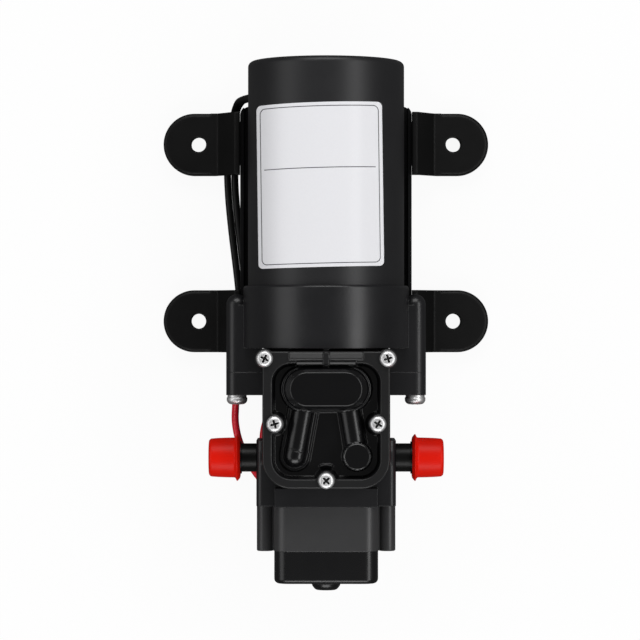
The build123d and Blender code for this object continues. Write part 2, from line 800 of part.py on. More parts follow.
def pump_body():
    """The pump's main moulding: crank chamber, side ports and the wide end for the switch."""
    drum = rod_y(drum_r, low_top_y, collar_foot_y)
    drum &= block(-body_half_w, body_half_w, low_top_y, collar_foot_y, 0, flange_z)
    body = drum + block(-body_half_w, body_half_w, low_top_y, collar_foot_y, axis_z, flange_z)
    body += raised(head_outline(), flange_z, body_top_z)
    wide = block(-low_half_w, low_half_w, low_foot_y, low_top_y, low_floor_z, low_side_z)
    wide = fillet(wide.edges().filter_by(Axis.Y), low_edge_fillet)
    body += wide
    ridge = block(-ridge_half_w, ridge_half_w, low_foot_y, ridge_y, low_floor_z, ridge_z)
    body += ridge
    body += both_sides(ear_column(ear_foot_y, ear_split_y) + block(
        body_half_w - over, ear_inner_x, ear_foot_y, ear_split_y, axis_z - ear_r, axis_z + ear_r
    ))
    body += both_sides(rod_x(port_boss_r, body_half_w - over, port_boss_x, port_y, port_z))
    body -= both_sides(
        rod_y(ear_shank_r + screw_gap, ear_foot_y - over, ear_split_y + over, ear_x)
    )
    chamber = rod_y(chamber_r, chamber_foot_y, collar_foot_y + over)
    body -= chamber & block(-chamber_r, chamber_r, chamber_foot_y, collar_foot_y + over, 0, chamber_roof_z)
    body -= rod_z(well_r, axis_z, body_top_z + over, 0, drive_y)
    body -= rod_z(diaphragm_r + soft_gap, body_top_z - diaphragm_thick, body_top_z + over, 0, drive_y)
    body -= screw_holes(cover_screw_z - over, body_top_z + over)
    body -= water_ways(port_z, body_top_z + over)
    for side, foot_x in ((-1, left_tube_foot[0]), (1, right_tube_foot[0])):
        body -= rod_x(port_bore_r, foot_x, side * low_half_w, port_y, port_z)
        seat_x = side * (low_half_w - spigot_length - seat_gap)
        body -= rod_x(spigot_r + seat_gap, seat_x, side * (low_half_w + over), port_y, port_z)
    body -= rod_y(sense_r, low_foot_y - over, low_foot_y + sense_depth, 0, switch_z)
    body -= rod_y(sense_bore_r, low_foot_y, port_y, sense_x, sense_z)
    body -= rod_x(sense_bore_r, sense_x, right_tube_foot[0], port_y, sense_z)
    body -= rod_z(sense_bore_r, sense_z, port_z, right_tube_foot[0], port_y)
    depth = switch_screw_depth + over
    for x in (-switch_boss_x, switch_boss_x):
        body -= rod_y(switch_shank_r + screw_gap, low_foot_y - over, low_foot_y + depth, x, switch_z)
    return body


def valve_plate():
    """The plate over the diaphragm: the pumping chamber's roof, with a ring of holes at each valve."""
    plate = raised(head_outline(), body_top_z, plate_z)
    plate -= rod_z(well_r, body_top_z - over, pump_roof_z, 0, drive_y)
    for x in (-valve_x, valve_x):
        plate -= rod_z(valve_stem_r + soft_gap, body_top_z, plate_z + over, x, dome_y)
        for step in range(flow_holes):
            angle = radians(step * 360 / flow_holes)
            hole = (x + flow_pitch_r * cos(angle), dome_y + flow_pitch_r * sin(angle))
            plate -= rod_z(flow_hole_r, body_top_z, plate_z + over, *hole)
    plate -= screw_holes(body_top_z - over, plate_z + over)
    plate -= water_ways(body_top_z - over, plate_z + over)
    return plate


def umbrella_valve(x, seat_z, up):
    """A rubber valve: a thin disc against its seat, on a stem with a knob that keeps it in its hole."""
    disc_near = seat_z + up * soft_gap
    disc = rod_z(valve_r, disc_near, disc_near + up * valve_disc, x, dome_y)
    knob_near = seat_z - up * (plate_z - pump_roof_z + valve_lift + soft_gap)
    knob = rod_z(valve_knob_r, knob_near, knob_near - up * valve_knob_h, x, dome_y)
    stem = rod_z(valve_stem_r, disc_near, knob_near, x, dome_y)
    return disc + stem + knob


def cover_gasket():
    """The rubber sheet under the cover."""
    sheet = raised(head_outline(soft_gap), plate_z, gasket_z)
    sheet -= raised(Pos(0, dome_y) * SlotOverall(cavity_w, cavity_h), plate_z - over, gasket_z + over)
    sheet -= screw_holes(plate_z - over, gasket_z + over)
    sheet -= water_ways(plate_z - over, gasket_z + over)
    return sheet


def tube_along(radius, start, end, z):
    """A round bar in a level plane from one place to another."""
    a = Vector(start[0], start[1], z)
    b = Vector(end[0], end[1], z)
    return extrude(Plane(origin=a, z_dir=b - a) * Circle(radius), amount=(b - a).length)


def cover_relief():
    """The parts that stand on the cover's sunk floor: the oval dome, its two channels and the round pot."""
    oval = Pos(0, dome_y)
    relief = raised(oval * SlotOverall(dome_w, dome_h), gasket_z, dome_base_z)
    relief += raised(oval * SlotOverall(step_w, step_h), dome_base_z, step_z)
    crown = loft([
        Pos(0, 0, step_z) * oval * SlotOverall(step_w, step_h),
        Pos(0, 0, crown_z) * oval * SlotOverall(crown_w, crown_h),
    ])
    relief += crown
    relief += tube_along(tube_r, left_tube_top, left_tube_foot, tube_z)
    relief += Pos(*left_tube_foot, tube_z) * Sphere(tube_r)
    top, low = Vector(*left_tube_top), Vector(*left_tube_foot)
    ring_at = top + (low - top) * left_joint_share
    ring_to = ring_at + (low - top).normalized() * joint_ring_w
    relief += tube_along(joint_ring_r, (ring_at.X, ring_at.Y), (ring_to.X, ring_to.Y), tube_z)
    relief += tube_along(tube_r, right_tube_top, right_tube_foot, tube_z)
    bed = SlotCenterToCenter((low - top).length, 2 * left_bed_r)
    lean = Vector(1, 0).get_signed_angle(low - top, Vector(0, 0, 1))
    middle = (top + low) / 2
    relief += raised(Pos(middle.X, middle.Y) * Rot(0, 0, lean) * bed, cover_floor_z - over, left_bed_z)
    relief += rod_z(pot_r, gasket_z, pot_z, *right_tube_foot)
    relief -= rod_z(pot_r - pot_rim, pot_z - pot_dish, pot_z + over, *right_tube_foot)
    return relief


def front_cover():
    """The screwed cover: a flat rim round a sunk floor, with the valve dome and water channels."""
    shell = raised(head_outline(), gasket_z, cover_rim_z)
    sunk_w = 2 * (head_half_w - head_rim_w)
    sunk_h = head_recess_y - head_foot_y - head_rim_w
    sunk_y = (head_recess_y + head_foot_y + head_rim_w) / 2
    sunk = Pos(0, sunk_y) * RectangleRounded(sunk_w, sunk_h, head_corner_r - head_rim_w)
    for x, y, r in screw_places:
        sunk -= Pos(x, y) * Circle(r)
    shell -= raised(sunk, cover_floor_z, cover_rim_z + over)
    shell += cover_relief() & raised(head_outline(), gasket_z, crown_z + over)
    bar_foot_y = head_top_y - bar_h
    shell += block(-bar_half_w, bar_half_w, bar_foot_y, head_top_y, cover_floor_z, bar_z)
    shell += block(-band_half_w, band_half_w, bar_foot_y - band_h, bar_foot_y, cover_floor_z, band_z)
    shell += block(-gusset_half_w, gusset_half_w, gusset_foot_y + gusset_half_w, head_top_y, cover_floor_z, gusset_z)
    shell += rod_z(gusset_half_w, cover_floor_z, gusset_z, 0, gusset_foot_y + gusset_half_w)
    arc = Circle(rib_r) - Circle(rib_r - rib_w)
    arc &= Pos(0, rib_r) * Rectangle(2 * rib_r * sin(radians(rib_half_deg)), 2 * rib_r)
    shell += raised(Pos(0, screw_low_y) * arc, cover_floor_z - over, rib_z)
    cavity = raised(Pos(0, dome_y) * SlotOverall(cavity_w, cavity_h), gasket_z - over, cavity_z)
    cavity -= block(-divider / 2, divider / 2, dome_y - cavity_h, dome_y + cavity_h, gasket_z - over, cavity_z + over)
    shell -= cavity
    shell -= tube_along(channel_r, left_tube_top, left_tube_foot, tube_z)
    shell -= tube_along(channel_r, right_tube_top, right_tube_foot, tube_z)
    shell -= water_ways(gasket_z - over, tube_z)
    shell -= screw_holes(gasket_z - over, crown_z)
    return shell


def cover_screws():
    """The five bright cross-recess screws of the front cover."""
    depth = cover_rim_z - cover_screw_z
    screws = Part()
    for (x, y, r), turn_deg in zip(screw_places, cross_turns_deg):
        screw = cross_screw(cover_head_r, cover_head_h, cover_shank_r, depth, turn_deg)
        screws += Pos(x, y, cover_rim_z) * screw
    return screws


def port_fitting(side):
    """A side port: a spigot with a seal groove, a smooth neck, a stop ring and a barbed end."""
    start = low_half_w - spigot_length
    shape = rod_x(spigot_r, start, low_half_w, port_y, port_z)
    shape += rod_x(nipple_r, low_half_w, nipple_end_x, port_y, port_z)
    stop_end = nipple_end_x + stop_ring_w
    shape += rod_x(stop_ring_r, nipple_end_x, stop_end, port_y, port_z)
    tail = barb_count * barb_pitch
    shape += rod_x(barb_root_r, stop_end, stop_end + tail, port_y, port_z)
    for step in range(barb_count):
        near = stop_end + step * barb_pitch + barb_pitch / 2
        cone = Cone(barb_r, barb_root_r, barb_pitch / 2)
        shape += Pos(near + barb_pitch / 4, port_y, port_z) * Rot(0, 90, 0) * cone
    groove_x = low_half_w - seal_inset
    half = seal_wire_r + soft_gap / 2
    groove = rod_x(spigot_r + over, groove_x - half, groove_x + half, port_y, port_z)
    groove -= rod_x(spigot_r - 2 * seal_wire_r, groove_x - over, groove_x + over, port_y, port_z)
    shape -= groove
    shape -= rod_x(port_bore_r, start - over, stop_end + tail + over, port_y, port_z)
    return shape if side > 0 else mirror(shape, about=Plane.YZ)


def port_seals():
    """A rubber ring in each port fitting's groove."""
    ring_r = spigot_r - seal_wire_r
    ring = Pos(low_half_w - seal_inset, port_y, port_z) * Rot(0, 90, 0) * Torus(ring_r, seal_wire_r)
    return both_sides(ring)


def port_cap(side):
    """A soft red transit cap, open towards the pump, with a thin pointed flange at its mouth."""
    out_r = cap_in_r + cap_wall
    tip_x = cap_end_x - cap_bulge
    flange_mid = cap_in_x + cap_flange_w / 2
    outline = make_face(Polyline(
        (cap_in_x, 0), (cap_in_x, out_r), (flange_mid, cap_flange_r), (cap_in_x + cap_flange_w, out_r),
        (tip_x, out_r - cap_taper), (cap_end_x, out_r - cap_taper - cap_bulge), (cap_end_x, 0), close=True,
    ))
    hollow = make_face(Polyline(
        (cap_in_x - over, 0), (cap_in_x - over, cap_in_r), (cap_in_x + cap_flange_w, cap_in_r),
        (cap_end_x - cap_end_wall, cap_in_r - cap_taper), (cap_end_x - cap_end_wall, 0), close=True,
    ))
    shape = revolve(outline, Axis.X) - revolve(hollow, Axis.X)
    shape = Pos(0, port_y, port_z) * shape
    return shape if side > 0 else mirror(shape, about=Plane.YZ)


def eccentric():
    """The off-centre disc on the shaft that drives the yoke."""
    start, end = drive_y - eccentric_width / 2, drive_y + eccentric_width / 2
    disc = rod_y(eccentric_r, start, end, stroke)
    return disc - rod_y(shaft_r + seat_gap, start - over, end + over)


def eccentric_bearing():
    """The bearing round the eccentric."""
    start, end = drive_y - race_width / 2, drive_y + race_width / 2
    ring = rod_y(race_r, start, end, stroke)
    return ring - rod_y(eccentric_r + seat_gap, start - over, end + over, stroke)


def yoke():
    """The ring round the bearing, with a round head that carries the diaphragm."""
    start, end = drive_y - yoke_width / 2, drive_y + yoke_width / 2
    top = body_top_z - diaphragm_thick
    ring = rod_y(yoke_ring_r, start, end)
    ring += rod_z(yoke_head_r, top - yoke_head_h, top, 0, drive_y)
    ring -= rod_y(yoke_bore_r, start - over - yoke_head_r, end + over + yoke_head_r)
    ring -= block(-yoke_ring_r, yoke_ring_r, start - yoke_head_r, end + yoke_head_r, top, top + yoke_ring_r)
    return ring - rod_z(piston_screw_r + screw_gap, top - piston_screw_depth, top + over, 0, drive_y)


def diaphragm():
    """The moulded rubber disc: a clamped rim, a thin web and a thick hub."""
    low, top = body_top_z - diaphragm_thick, body_top_z
    mid = (low + top) / 2
    disc = rod_z(diaphragm_r, low, top, 0, drive_y) - rod_z(well_r, low - over, top + over, 0, drive_y)
    disc += rod_z(well_r, mid - diaphragm_web / 2, mid + diaphragm_web / 2, 0, drive_y)
    disc += rod_z(diaphragm_hub_r, low, top, 0, drive_y)
    return disc - rod_z(piston_screw_r + screw_gap, low - over, top + over, 0, drive_y)


def upper_piston():
    """The disc on top of the diaphragm, sunk for its screw."""
    top = body_top_z + piston_h
    disc = rod_z(piston_r, body_top_z, top, 0, drive_y)
    disc -= rod_z(piston_screw_r + screw_gap, body_top_z - over, top + over, 0, drive_y)
    return disc - rod_z(piston_head_r + screw_gap, top - piston_head_h, top + over, 0, drive_y)


def piston_screw():
    """The screw that clamps disc, diaphragm and yoke."""
    seat = body_top_z + piston_h - piston_head_h
    depth = seat - (body_top_z - diaphragm_thick) + piston_screw_depth - over
    return Pos(0, drive_y, seat) * cross_screw(piston_head_r, piston_head_h, piston_screw_r, depth, piston_turn_deg)


def switch_section(half_w, y_start, y_end, inset=0):
    """A rounded box of the pressure switch, between two places along Y."""
    wide, high = 2 * (half_w - inset), 2 * (switch_half_h - inset)
    corner = max(switch_corner_r - inset, switch_inner_corner_r)
    outline = Plane.XZ * (Pos(0, switch_z) * RectangleRounded(wide, high, corner))
    return Pos(0, y_start, 0) * extrude(outline, amount=y_start - y_end)


def switch_housing():
    """The switch's first half: diaphragm pocket, plunger guide, and a screw boss on each side."""
    shape = switch_section(ridge_half_w, low_foot_y, switch_foot_y)
    boss_end = switch_foot_y + switch_boss_end
    boss = rod_y(switch_boss_r, boss_end, low_foot_y, switch_boss_x, switch_z)
    web = block(
        ridge_half_w - over, switch_boss_x, boss_end, low_foot_y,
        switch_z - switch_web_half_h, switch_z + switch_web_half_h,
    )
    shape += both_sides(boss + web)
    hole = rod_y(switch_shank_r + screw_gap, boss_end - over, low_foot_y + over, switch_boss_x, switch_z)
    hole += rod_y(switch_head_r + screw_gap, boss_end - over, boss_end + switch_head_sink, switch_boss_x, switch_z)
    shape -= both_sides(hole)
    shape -= rod_y(membrane_r + soft_gap, low_foot_y - membrane_thick, low_foot_y + over, 0, switch_z)
    shape -= rod_y(plunger_r + run_gap, guide_end_y - over, low_foot_y, 0, switch_z)
    shape -= switch_section(ridge_half_w, guide_end_y, switch_foot_y - over, switch_wall)
    for x in blade_x:
        shape -= terminal_blade(x, screw_gap)
    return shape


def switch_cap():
    """The switch's closed end, with a threaded boss for the adjusting screw."""
    shape = switch_section(cap_half_w, switch_foot_y, switch_cap_y)
    shape = fillet(shape.faces().sort_by(Axis.Y)[0].edges(), switch_edge_fillet)
    shape -= switch_section(cap_half_w, switch_foot_y + over, switch_cap_y + switch_wall, switch_wall)
    boss_top = switch_cap_y + switch_wall + adjuster_boss_h
    shape += rod_y(adjuster_boss_r, switch_cap_y + switch_wall, boss_top, 0, switch_z)
    return shape - rod_y(adjuster_r + run_gap, switch_cap_y - over, boss_top + over, 0, switch_z)


def switch_screws():
    """The two screws in the switch's side bosses."""
    seat_y = switch_foot_y + switch_boss_end + switch_head_sink
    depth = low_foot_y - seat_y + switch_screw_depth
    screw = cross_screw(switch_head_r, switch_head_h, switch_shank_r, depth, switch_turn_deg)
    places = (-switch_boss_x, switch_boss_x)
    return Part() + [Pos(x, seat_y, switch_z) * Rot(90, 0, 0) * screw for x in places]


def switch_diaphragm():
    """The rubber disc that the water pressure pushes on."""
    return rod_y(membrane_r, low_foot_y - membrane_thick, low_foot_y, 0, switch_z)


def switch_plunger():
    """The piston behind the switch diaphragm, with an arm that presses the micro switch."""
    top_y = low_foot_y - membrane_thick - soft_gap
    piston = rod_y(plunger_r, plunger_end_y, top_y, 0, switch_z)
    low, high = switch_z - plunger_arm_half_h, switch_z + plunger_arm_half_h
    return piston + block(-plunger_arm_x, 0, plunger_end_y, plunger_end_y + plunger_arm_w, low, high)


def micro_switch():
    """The micro switch's case, with a pocket for its button."""
    low, high = switch_z - micro_half_h, switch_z + micro_half_h
    case = block(-micro_out_x, -micro_in_x, micro_top_y - micro_length, micro_top_y, low, high)
    sunk = micro_top_y - button_sink - plunger_travel
    return case - rod_y(button_r + run_gap, sunk, micro_top_y + over, -button_x, switch_z)


def switch_button():
    """The micro switch's button, under the plunger's arm."""
    return rod_y(button_r, micro_top_y - button_sink, plunger_end_y - soft_gap, -button_x, switch_z)


def terminal_blade(x, grow=0):
    """One flat terminal, from the micro switch down through the housing's floor."""
    half_t, half_w = blade_thick / 2 + grow, blade_w / 2 + grow
    top = switch_z - micro_half_h
    return block(x - half_t, x + half_t, blade_y - half_w, blade_y + half_w, blade_foot_z - grow, top)


def switch_terminals():
    """The two flat terminals under the micro switch."""
    return Part() + [terminal_blade(x) for x in blade_x]


def terminal_sleeves():
    """A soft sleeve over each terminal, which the red lead runs into."""
    sleeves = Part()
    end = red_outer_route[-1][1] - seat_gap
    for x in blade_x:
        low = sleeve_top_z - sleeve_h
        sleeve = block(x - sleeve_half_w, x + sleeve_half_w, end - sleeve_length, end, low, sleeve_top_z)
        sleeves += sleeve - terminal_blade(x, seat_gap)
    return sleeves


def spring_seat():
    """The cup on the adjusting screw that the spring rests on; the screw turns in it."""
    end = seat_y - seat_thick
    disc = rod_y(seat_r, end, seat_y, 0, switch_z)
    return disc - rod_y(adjuster_r + run_gap, end - over, seat_y + over, 0, switch_z)


def switch_spring():
    """The pressure spring between the plunger and its seat, as a plain sleeve."""
    sleeve = rod_y(spring_r, seat_y, plunger_end_y, 0, switch_z)
    return sleeve - rod_y(spring_r - spring_wire, seat_y - over, plunger_end_y + over, 0, switch_z)


def adjusting_screw():
    """The screw in the end of the switch that sets the pressure, with a six-sided socket."""
    shank = rod_y(adjuster_r, switch_cap_y, adjuster_tip_y, 0, switch_z)
    head = Pos(0, switch_cap_y - adjuster_head_h / 2, switch_z) * Rot(90, 0, 0) * Cone(
        adjuster_head_r, adjuster_head_r - adjuster_taper, adjuster_head_h
    )
    socket = RegularPolygon(adjuster_hex_r, 6)
    socket = Pos(0, switch_cap_y - adjuster_head_h + adjuster_hex_depth, switch_z) * Rot(90, 0, 0) * extrude(
        socket, amount=2 * adjuster_hex_depth
    )
    return shank + head - socket


def lead(name, route, diameter):
    """A round lead along straight runs joined by arcs as large as the runs allow."""
    points = [Vector(*p) for p in route]
    radii = []
    for before, here, after in zip(points, points[1:], points[2:]):
        turn = (here - before).get_angle(after - here)
        shorter = min((here - before).length, (after - here).length)
        radii.append(arc_share * shorter / tan(radians(turn) / 2))
    path = FilletPolyline(*points, radius=radii)
    section = Plane(origin=points[0], z_dir=points[1] - points[0]) * Circle(diameter / 2)
    solid = sweep(section, path=path)
    expected = pi * diameter ** 2 / 4 * path.length
    print(name, "length", round(path.length, 1), "least radius", round(min(radii), 1),
          "radii", [round(r) for r in radii], "volume share", round(solid.volume / expected, 4))
    return solid


def splice(black, red):
    """A shrink sleeve from the end of a black lead to the start of a red one."""
    start, end = Vector(*black[-1]), Vector(*red[0])
    return extrude(Plane(origin=start, z_dir=end - start) * Circle(splice_d / 2), amount=(end - start).length)


os.makedirs("parts", exist_ok=True)
nodes = {
    "motor_can": motor_can(),
    "lead_grommet": lead_grommet(),
    "rear_bush": rear_bush(),
    "field_magnets": field_magnets(),
    "magnet_clip": magnet_clip(),
    "armature_core": armature_core(),
    "armature_windings": armature_windings(),
    "commutator": commutator(),
    "motor_shaft": motor_shaft(),
    "brush_card": brush_card(),
    "brush_holders": brush_holders(),
    "carbon_brushes": carbon_brushes(),
    "brush_springs": brush_springs(),
    "motor_end_plate": motor_end_plate(),
    "front_bearing": bearing_ring(bearing_out_r, bearing_split_r + run_gap),
    "front_bearing_race": bearing_ring(bearing_split_r, shaft_r + seat_gap),
    "rating_label": rating_label(),
    "crank_housing": crank_housing(),
    "ear_screws": ear_screws(),
    "ear_washers": ear_washers(),
    "base_bracket": base_bracket(),
    "bracket_screws": bracket_screws(),
    "upper_left_foot": foot(-1, hole_y),
    "upper_right_foot": foot(1, hole_y),
    "lower_left_foot": foot(-1, -hole_y),
    "lower_right_foot": foot(1, -hole_y),
    "pump_body": pump_body(),
    "diaphragm": diaphragm(),
    "valve_plate": valve_plate(),
    "inlet_valve": umbrella_valve(-valve_x, pump_roof_z, -1),
    "outlet_valve": umbrella_valve(valve_x, plate_z, 1),
    "cover_gasket": cover_gasket(),
    "front_cover": front_cover(),
    "cover_screws": cover_screws(),
    "left_port_fitting": port_fitting(-1),
    "right_port_fitting": port_fitting(1),
    "port_seals": port_seals(),
    "left_cap": port_cap(-1),
    "right_cap": port_cap(1),
    "eccentric": eccentric(),
    "eccentric_bearing": eccentric_bearing(),
    "yoke": yoke(),
    "upper_piston": upper_piston(),
    "piston_screw": piston_screw(),
    "switch_housing": switch_housing(),
    "switch_cap": switch_cap(),
    "switch_screws": switch_screws(),
    "switch_diaphragm": switch_diaphragm(),
    "switch_plunger": switch_plunger(),
    "micro_switch": micro_switch(),
    "switch_button": switch_button(),
    "switch_terminals": switch_terminals(),
    "terminal_sleeves": terminal_sleeves(),
    "spring_seat": spring_seat(),
    "switch_spring": switch_spring(),
    "adjusting_screw": adjusting_screw(),
    "motor_leads": Part() + [
        lead("black outer", black_outer_route, lead_d), lead("black inner", black_inner_route, lead_d)
    ],
    "lead_splices": Part() + [
        splice(black_outer_route, red_outer_route), splice(black_inner_route, red_inner_route)
    ],
    "switch_leads": Part() + [
        lead("red outer", red_outer_route, lead_d), lead("red inner", red_inner_route, lead_d)
    ],
}
for name, shape in nodes.items():
    export_step(shape, f"parts/{name}.step")
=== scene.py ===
# %% [markdown]
# # A caravan water pump, seen from above
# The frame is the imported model: every solid already has its size and place. This lesson adds
# what a camera sees: softened moulding edges, screw heads, soft caps, finishes and light.
# Lengths are written in millimetres and turned into metres by one value, because the mouldings
# are easier to think of in millimetres.

import json
import math

import bmesh
import bpy
import numpy as np
from mathutils import Matrix, Vector

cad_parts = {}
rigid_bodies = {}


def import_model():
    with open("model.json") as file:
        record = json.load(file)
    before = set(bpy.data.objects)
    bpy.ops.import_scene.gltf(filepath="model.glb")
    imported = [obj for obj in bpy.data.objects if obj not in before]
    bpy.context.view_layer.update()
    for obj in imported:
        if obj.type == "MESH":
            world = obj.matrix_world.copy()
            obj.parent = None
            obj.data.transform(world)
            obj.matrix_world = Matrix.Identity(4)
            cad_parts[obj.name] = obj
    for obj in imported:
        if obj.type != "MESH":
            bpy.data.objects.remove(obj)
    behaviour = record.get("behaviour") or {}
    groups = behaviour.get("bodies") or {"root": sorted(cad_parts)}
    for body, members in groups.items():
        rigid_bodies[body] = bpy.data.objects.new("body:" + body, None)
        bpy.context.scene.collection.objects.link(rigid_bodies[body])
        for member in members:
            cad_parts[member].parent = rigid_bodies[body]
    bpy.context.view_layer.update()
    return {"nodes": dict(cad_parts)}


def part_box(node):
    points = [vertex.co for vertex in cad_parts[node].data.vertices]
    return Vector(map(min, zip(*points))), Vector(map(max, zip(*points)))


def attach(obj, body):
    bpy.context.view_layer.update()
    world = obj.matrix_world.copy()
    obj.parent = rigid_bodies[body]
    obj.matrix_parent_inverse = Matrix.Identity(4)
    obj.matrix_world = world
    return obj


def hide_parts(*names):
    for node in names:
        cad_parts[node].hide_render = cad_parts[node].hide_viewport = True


mm = 0.001
for made in list(bpy.data.objects):
    bpy.data.objects.remove(made)
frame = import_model()
nodes = frame["nodes"]

# %% [markdown]
# ## Shader maths as plain expressions
# A finish is a formula: a base value, plus a little noise, times a mask. Wiring each Math node
# by hand hides the formula, so one small class wraps a socket and lets Python's own operators
# add the nodes. Everything that isn't arithmetic comes from one method, node(), so that each
# material below reads as a short recipe.

# %% A socket that can be added and multiplied
class Value:
    def __init__(self, finish, socket):
        self.finish = finish
        self.socket = socket

    def math(self, operation, first, second=0.0):
        return self.finish.node("ShaderNodeMath", {"operation": operation}, {0: first, 1: second})

    def __add__(self, other):
        return self.math("ADD", self, other)

    def __sub__(self, other):
        return self.math("SUBTRACT", self, other)

    def __mul__(self, other):
        return self.math("MULTIPLY", self, other)

    def __pow__(self, other):
        return self.math("POWER", self, other)

    def __abs__(self):
        return self.math("ABSOLUTE", self)

    def __lt__(self, other):
        return self.math("LESS_THAN", self, other)

    def at_least(self, other):
        return self.math("MAXIMUM", self, other)

    def at_most(self, other):
        return self.math("MINIMUM", self, other)


# %% A finish: one material and its recipe
class Finish:
    def __init__(self, name, roughness=0.5, metallic=0.0, specular=0.5, coat=0.0, coat_roughness=0.1):
        self.material = bpy.data.materials.new(name)
        self.material.use_nodes = True
        self.tree = self.material.node_tree
        self.shader = self.tree.nodes["Principled BSDF"]
        self.shader.inputs["Roughness"].default_value = roughness
        self.shader.inputs["Metallic"].default_value = metallic
        self.shader.inputs["Specular IOR Level"].default_value = specular
        self.shader.inputs["Coat Weight"].default_value = coat
        self.shader.inputs["Coat Roughness"].default_value = coat_roughness
        self.place = self.node("ShaderNodeTexCoord", {}, {}, "Object")

    def node(self, kind, settings, inputs, output=0):
        made = self.tree.nodes.new(kind)
        for key, setting in settings.items():
            setattr(made, key, setting)
        for key, value in inputs.items():
            socket = made.inputs[key]
            if isinstance(value, Value):
                self.tree.links.new(value.socket, socket)
            else:
                socket.default_value = value
        return Value(self, made.outputs[output])

    def grain(self, size, detail):
        """Noise whose spots are about this many millimetres across, from 0 to 1."""
        inputs = {"Vector": self.place, "Scale": 1 / (size * mm), "Detail": detail}
        return self.node("ShaderNodeTexNoise", {"noise_dimensions": "3D"}, inputs)

    def blend(self, share, first, second):
        """The first colour where the share is 0 and the second where it is 1."""
        first, second = (c if isinstance(c, Value) else (*c, 1) for c in (first, second))
        colour_sockets = {0: share, 6: first, 7: second}
        return self.node("ShaderNodeMix", {"data_type": "RGBA"}, colour_sockets, 2)

    def feed(self, name, value):
        self.tree.links.new(value.socket, self.shader.inputs[name])

    def relief(self, height, depth, edge=0.0):
        """Bump of this depth in millimetres, over edges rounded by this many millimetres."""
        inputs = {"Height": height, "Distance": depth * mm}
        if edge:
            inputs["Normal"] = self.node("ShaderNodeBevel", {"samples": 6}, {"Radius": edge * mm})
        self.feed("Normal", self.node("ShaderNodeBump", {}, inputs))


# %% [markdown]
# ## The finishes
# Almost everything here is black, so what tells one part from the next is gloss and grain:
# baked paint on the can, fine spark-eroded grain on the mouldings, a polished cover, dull
# rubber feet. Each black gets a slightly different base and roughness, a soft change over
# centimetres as from handling, and a bump at the size of its real grain.

# %% Black mouldings, paint and rubber
finishes = {}


def dark_finish(name, base, lift, roughness, spread, grain_size, grain_depth, edge=0.0, raised_sheen=0.0, **shader):
    """A dark surface with patches lifted in brightness, a spread of roughness, a grain in
    millimetres, soft edges and a painted sheen: where the sheen grey isn't nought, faces marked
    raised are lightened to it and made a little rougher."""
    made = Finish(name, roughness=roughness, **shader)
    cloud = made.grain(9.0, detail=3.0)
    fine = made.grain(grain_size, detail=3.0)
    patch = (cloud * 0.7 + fine * 0.3).at_most(1.0)
    colour = made.blend(patch, base, tuple(channel * lift for channel in base))
    rough = cloud * spread + (roughness - spread * 0.5) + fine * spread * 0.4
    # Painted sheen: faces marked raised are lightened towards a grey, standing in for light on the rim and
    # bar; they are also made rougher.
    if raised_sheen:
        raised = made.node("ShaderNodeAttribute", {"attribute_name": "raised"}, {}, "Fac")
        colour = made.blend(raised, colour, (raised_sheen, raised_sheen, raised_sheen * 1.05))
        rough = rough + raised * 0.12
    made.feed("Base Color", colour)
    made.feed("Roughness", rough)
    made.relief(fine, grain_depth, edge)
    finishes[name] = made.material


dark_finish("motor_paint", (0.011, 0.011, 0.012), 1.5, 0.41, 0.06, 0.9, 0.006, edge=0.25, specular=0.45)
dark_finish("housing_plastic", (0.008, 0.008, 0.009), 1.6, 0.31, 0.10, 0.35, 0.018, edge=0.3, specular=0.5)
# The cover's raised rim and bar get a painted sheen of grey 0.008.
dark_finish("cover_plastic", (0.0016, 0.0016, 0.0019), 1.5, 0.24, 0.06, 0.5, 0.0012, raised_sheen=0.008, specular=0.5)
dark_finish("switch_plastic", (0.034, 0.034, 0.035), 1.30, 0.34, 0.10, 0.4, 0.012, edge=0.3, specular=0.5)
# The cap's plastic is the switch's own plastic with a base ten times darker: painted shade on the switch cap
# and adjusting screw.
dark_finish("shaded_cap_plastic", (0.0036, 0.0036, 0.0040), 1.4, 0.26, 0.08, 0.4, 0.003, edge=0.2, specular=0.5)
dark_finish("fitting_plastic", (0.0025, 0.0025, 0.0025), 1.5, 0.34, 0.08, 0.5, 0.004, edge=0.2, specular=0.2)
dark_finish("foot_rubber", (0.0028, 0.0028, 0.0028), 1.7, 0.42, 0.12, 0.45, 0.015, edge=0.9, specular=0.22)
dark_finish("seal_rubber", (0.010, 0.010, 0.010), 1.5, 0.60, 0.12, 0.4, 0.012, specular=0.3)
dark_finish("bracket_paint", (0.0025, 0.0025, 0.003), 1.5, 0.40, 0.10, 0.7, 0.010, edge=0.3, specular=0.25)
dark_finish("black_lead", (0.004, 0.004, 0.004), 1.5, 0.38, 0.08, 0.6, 0.004, specular=0.3)
dark_finish("magnet", (0.030, 0.029, 0.028), 1.6, 0.60, 0.15, 0.4, 0.015, specular=0.4)
dark_finish("carbon", (0.016, 0.016, 0.017), 1.6, 0.50, 0.15, 0.3, 0.010, specular=0.5)
print("dark finishes", len(finishes))

# %% [markdown]
# Metals differ by colour and by how they were made: plated screws are bright with a soft
# haze, laminations are duller, copper wire and brass are warm. A scratch pattern stretched
# along the work would need a direction on each piece, so a fine noise stands in for it. Where a
# driver's recess was cut, a face attribute named recess darkens the plating: painted shade in
# the hollow, together with old oil.

# %% Metals
def metal_finish(name, base, shade, roughness, spread, grain_size, grain_depth):
    made = Finish(name, roughness=roughness, metallic=1.0)
    cloud = made.grain(2.5, detail=3.0)
    fine = made.grain(grain_size, detail=2.0)
    colour = made.blend(cloud, base, shade)
    recess = made.node("ShaderNodeAttribute", {"attribute_name": "recess"}, {}, "Fac")
    # Painted shade: faces marked recess are darkened to a tenth of the base, for the shade in the driver's
    # recess together with old oil.
    made.feed("Base Color", made.blend(recess, colour, tuple(0.10 * channel for channel in base)))
    made.feed("Roughness", fine * spread + (roughness - spread * 0.5))
    made.relief(fine, grain_depth)
    finishes[name] = made.material


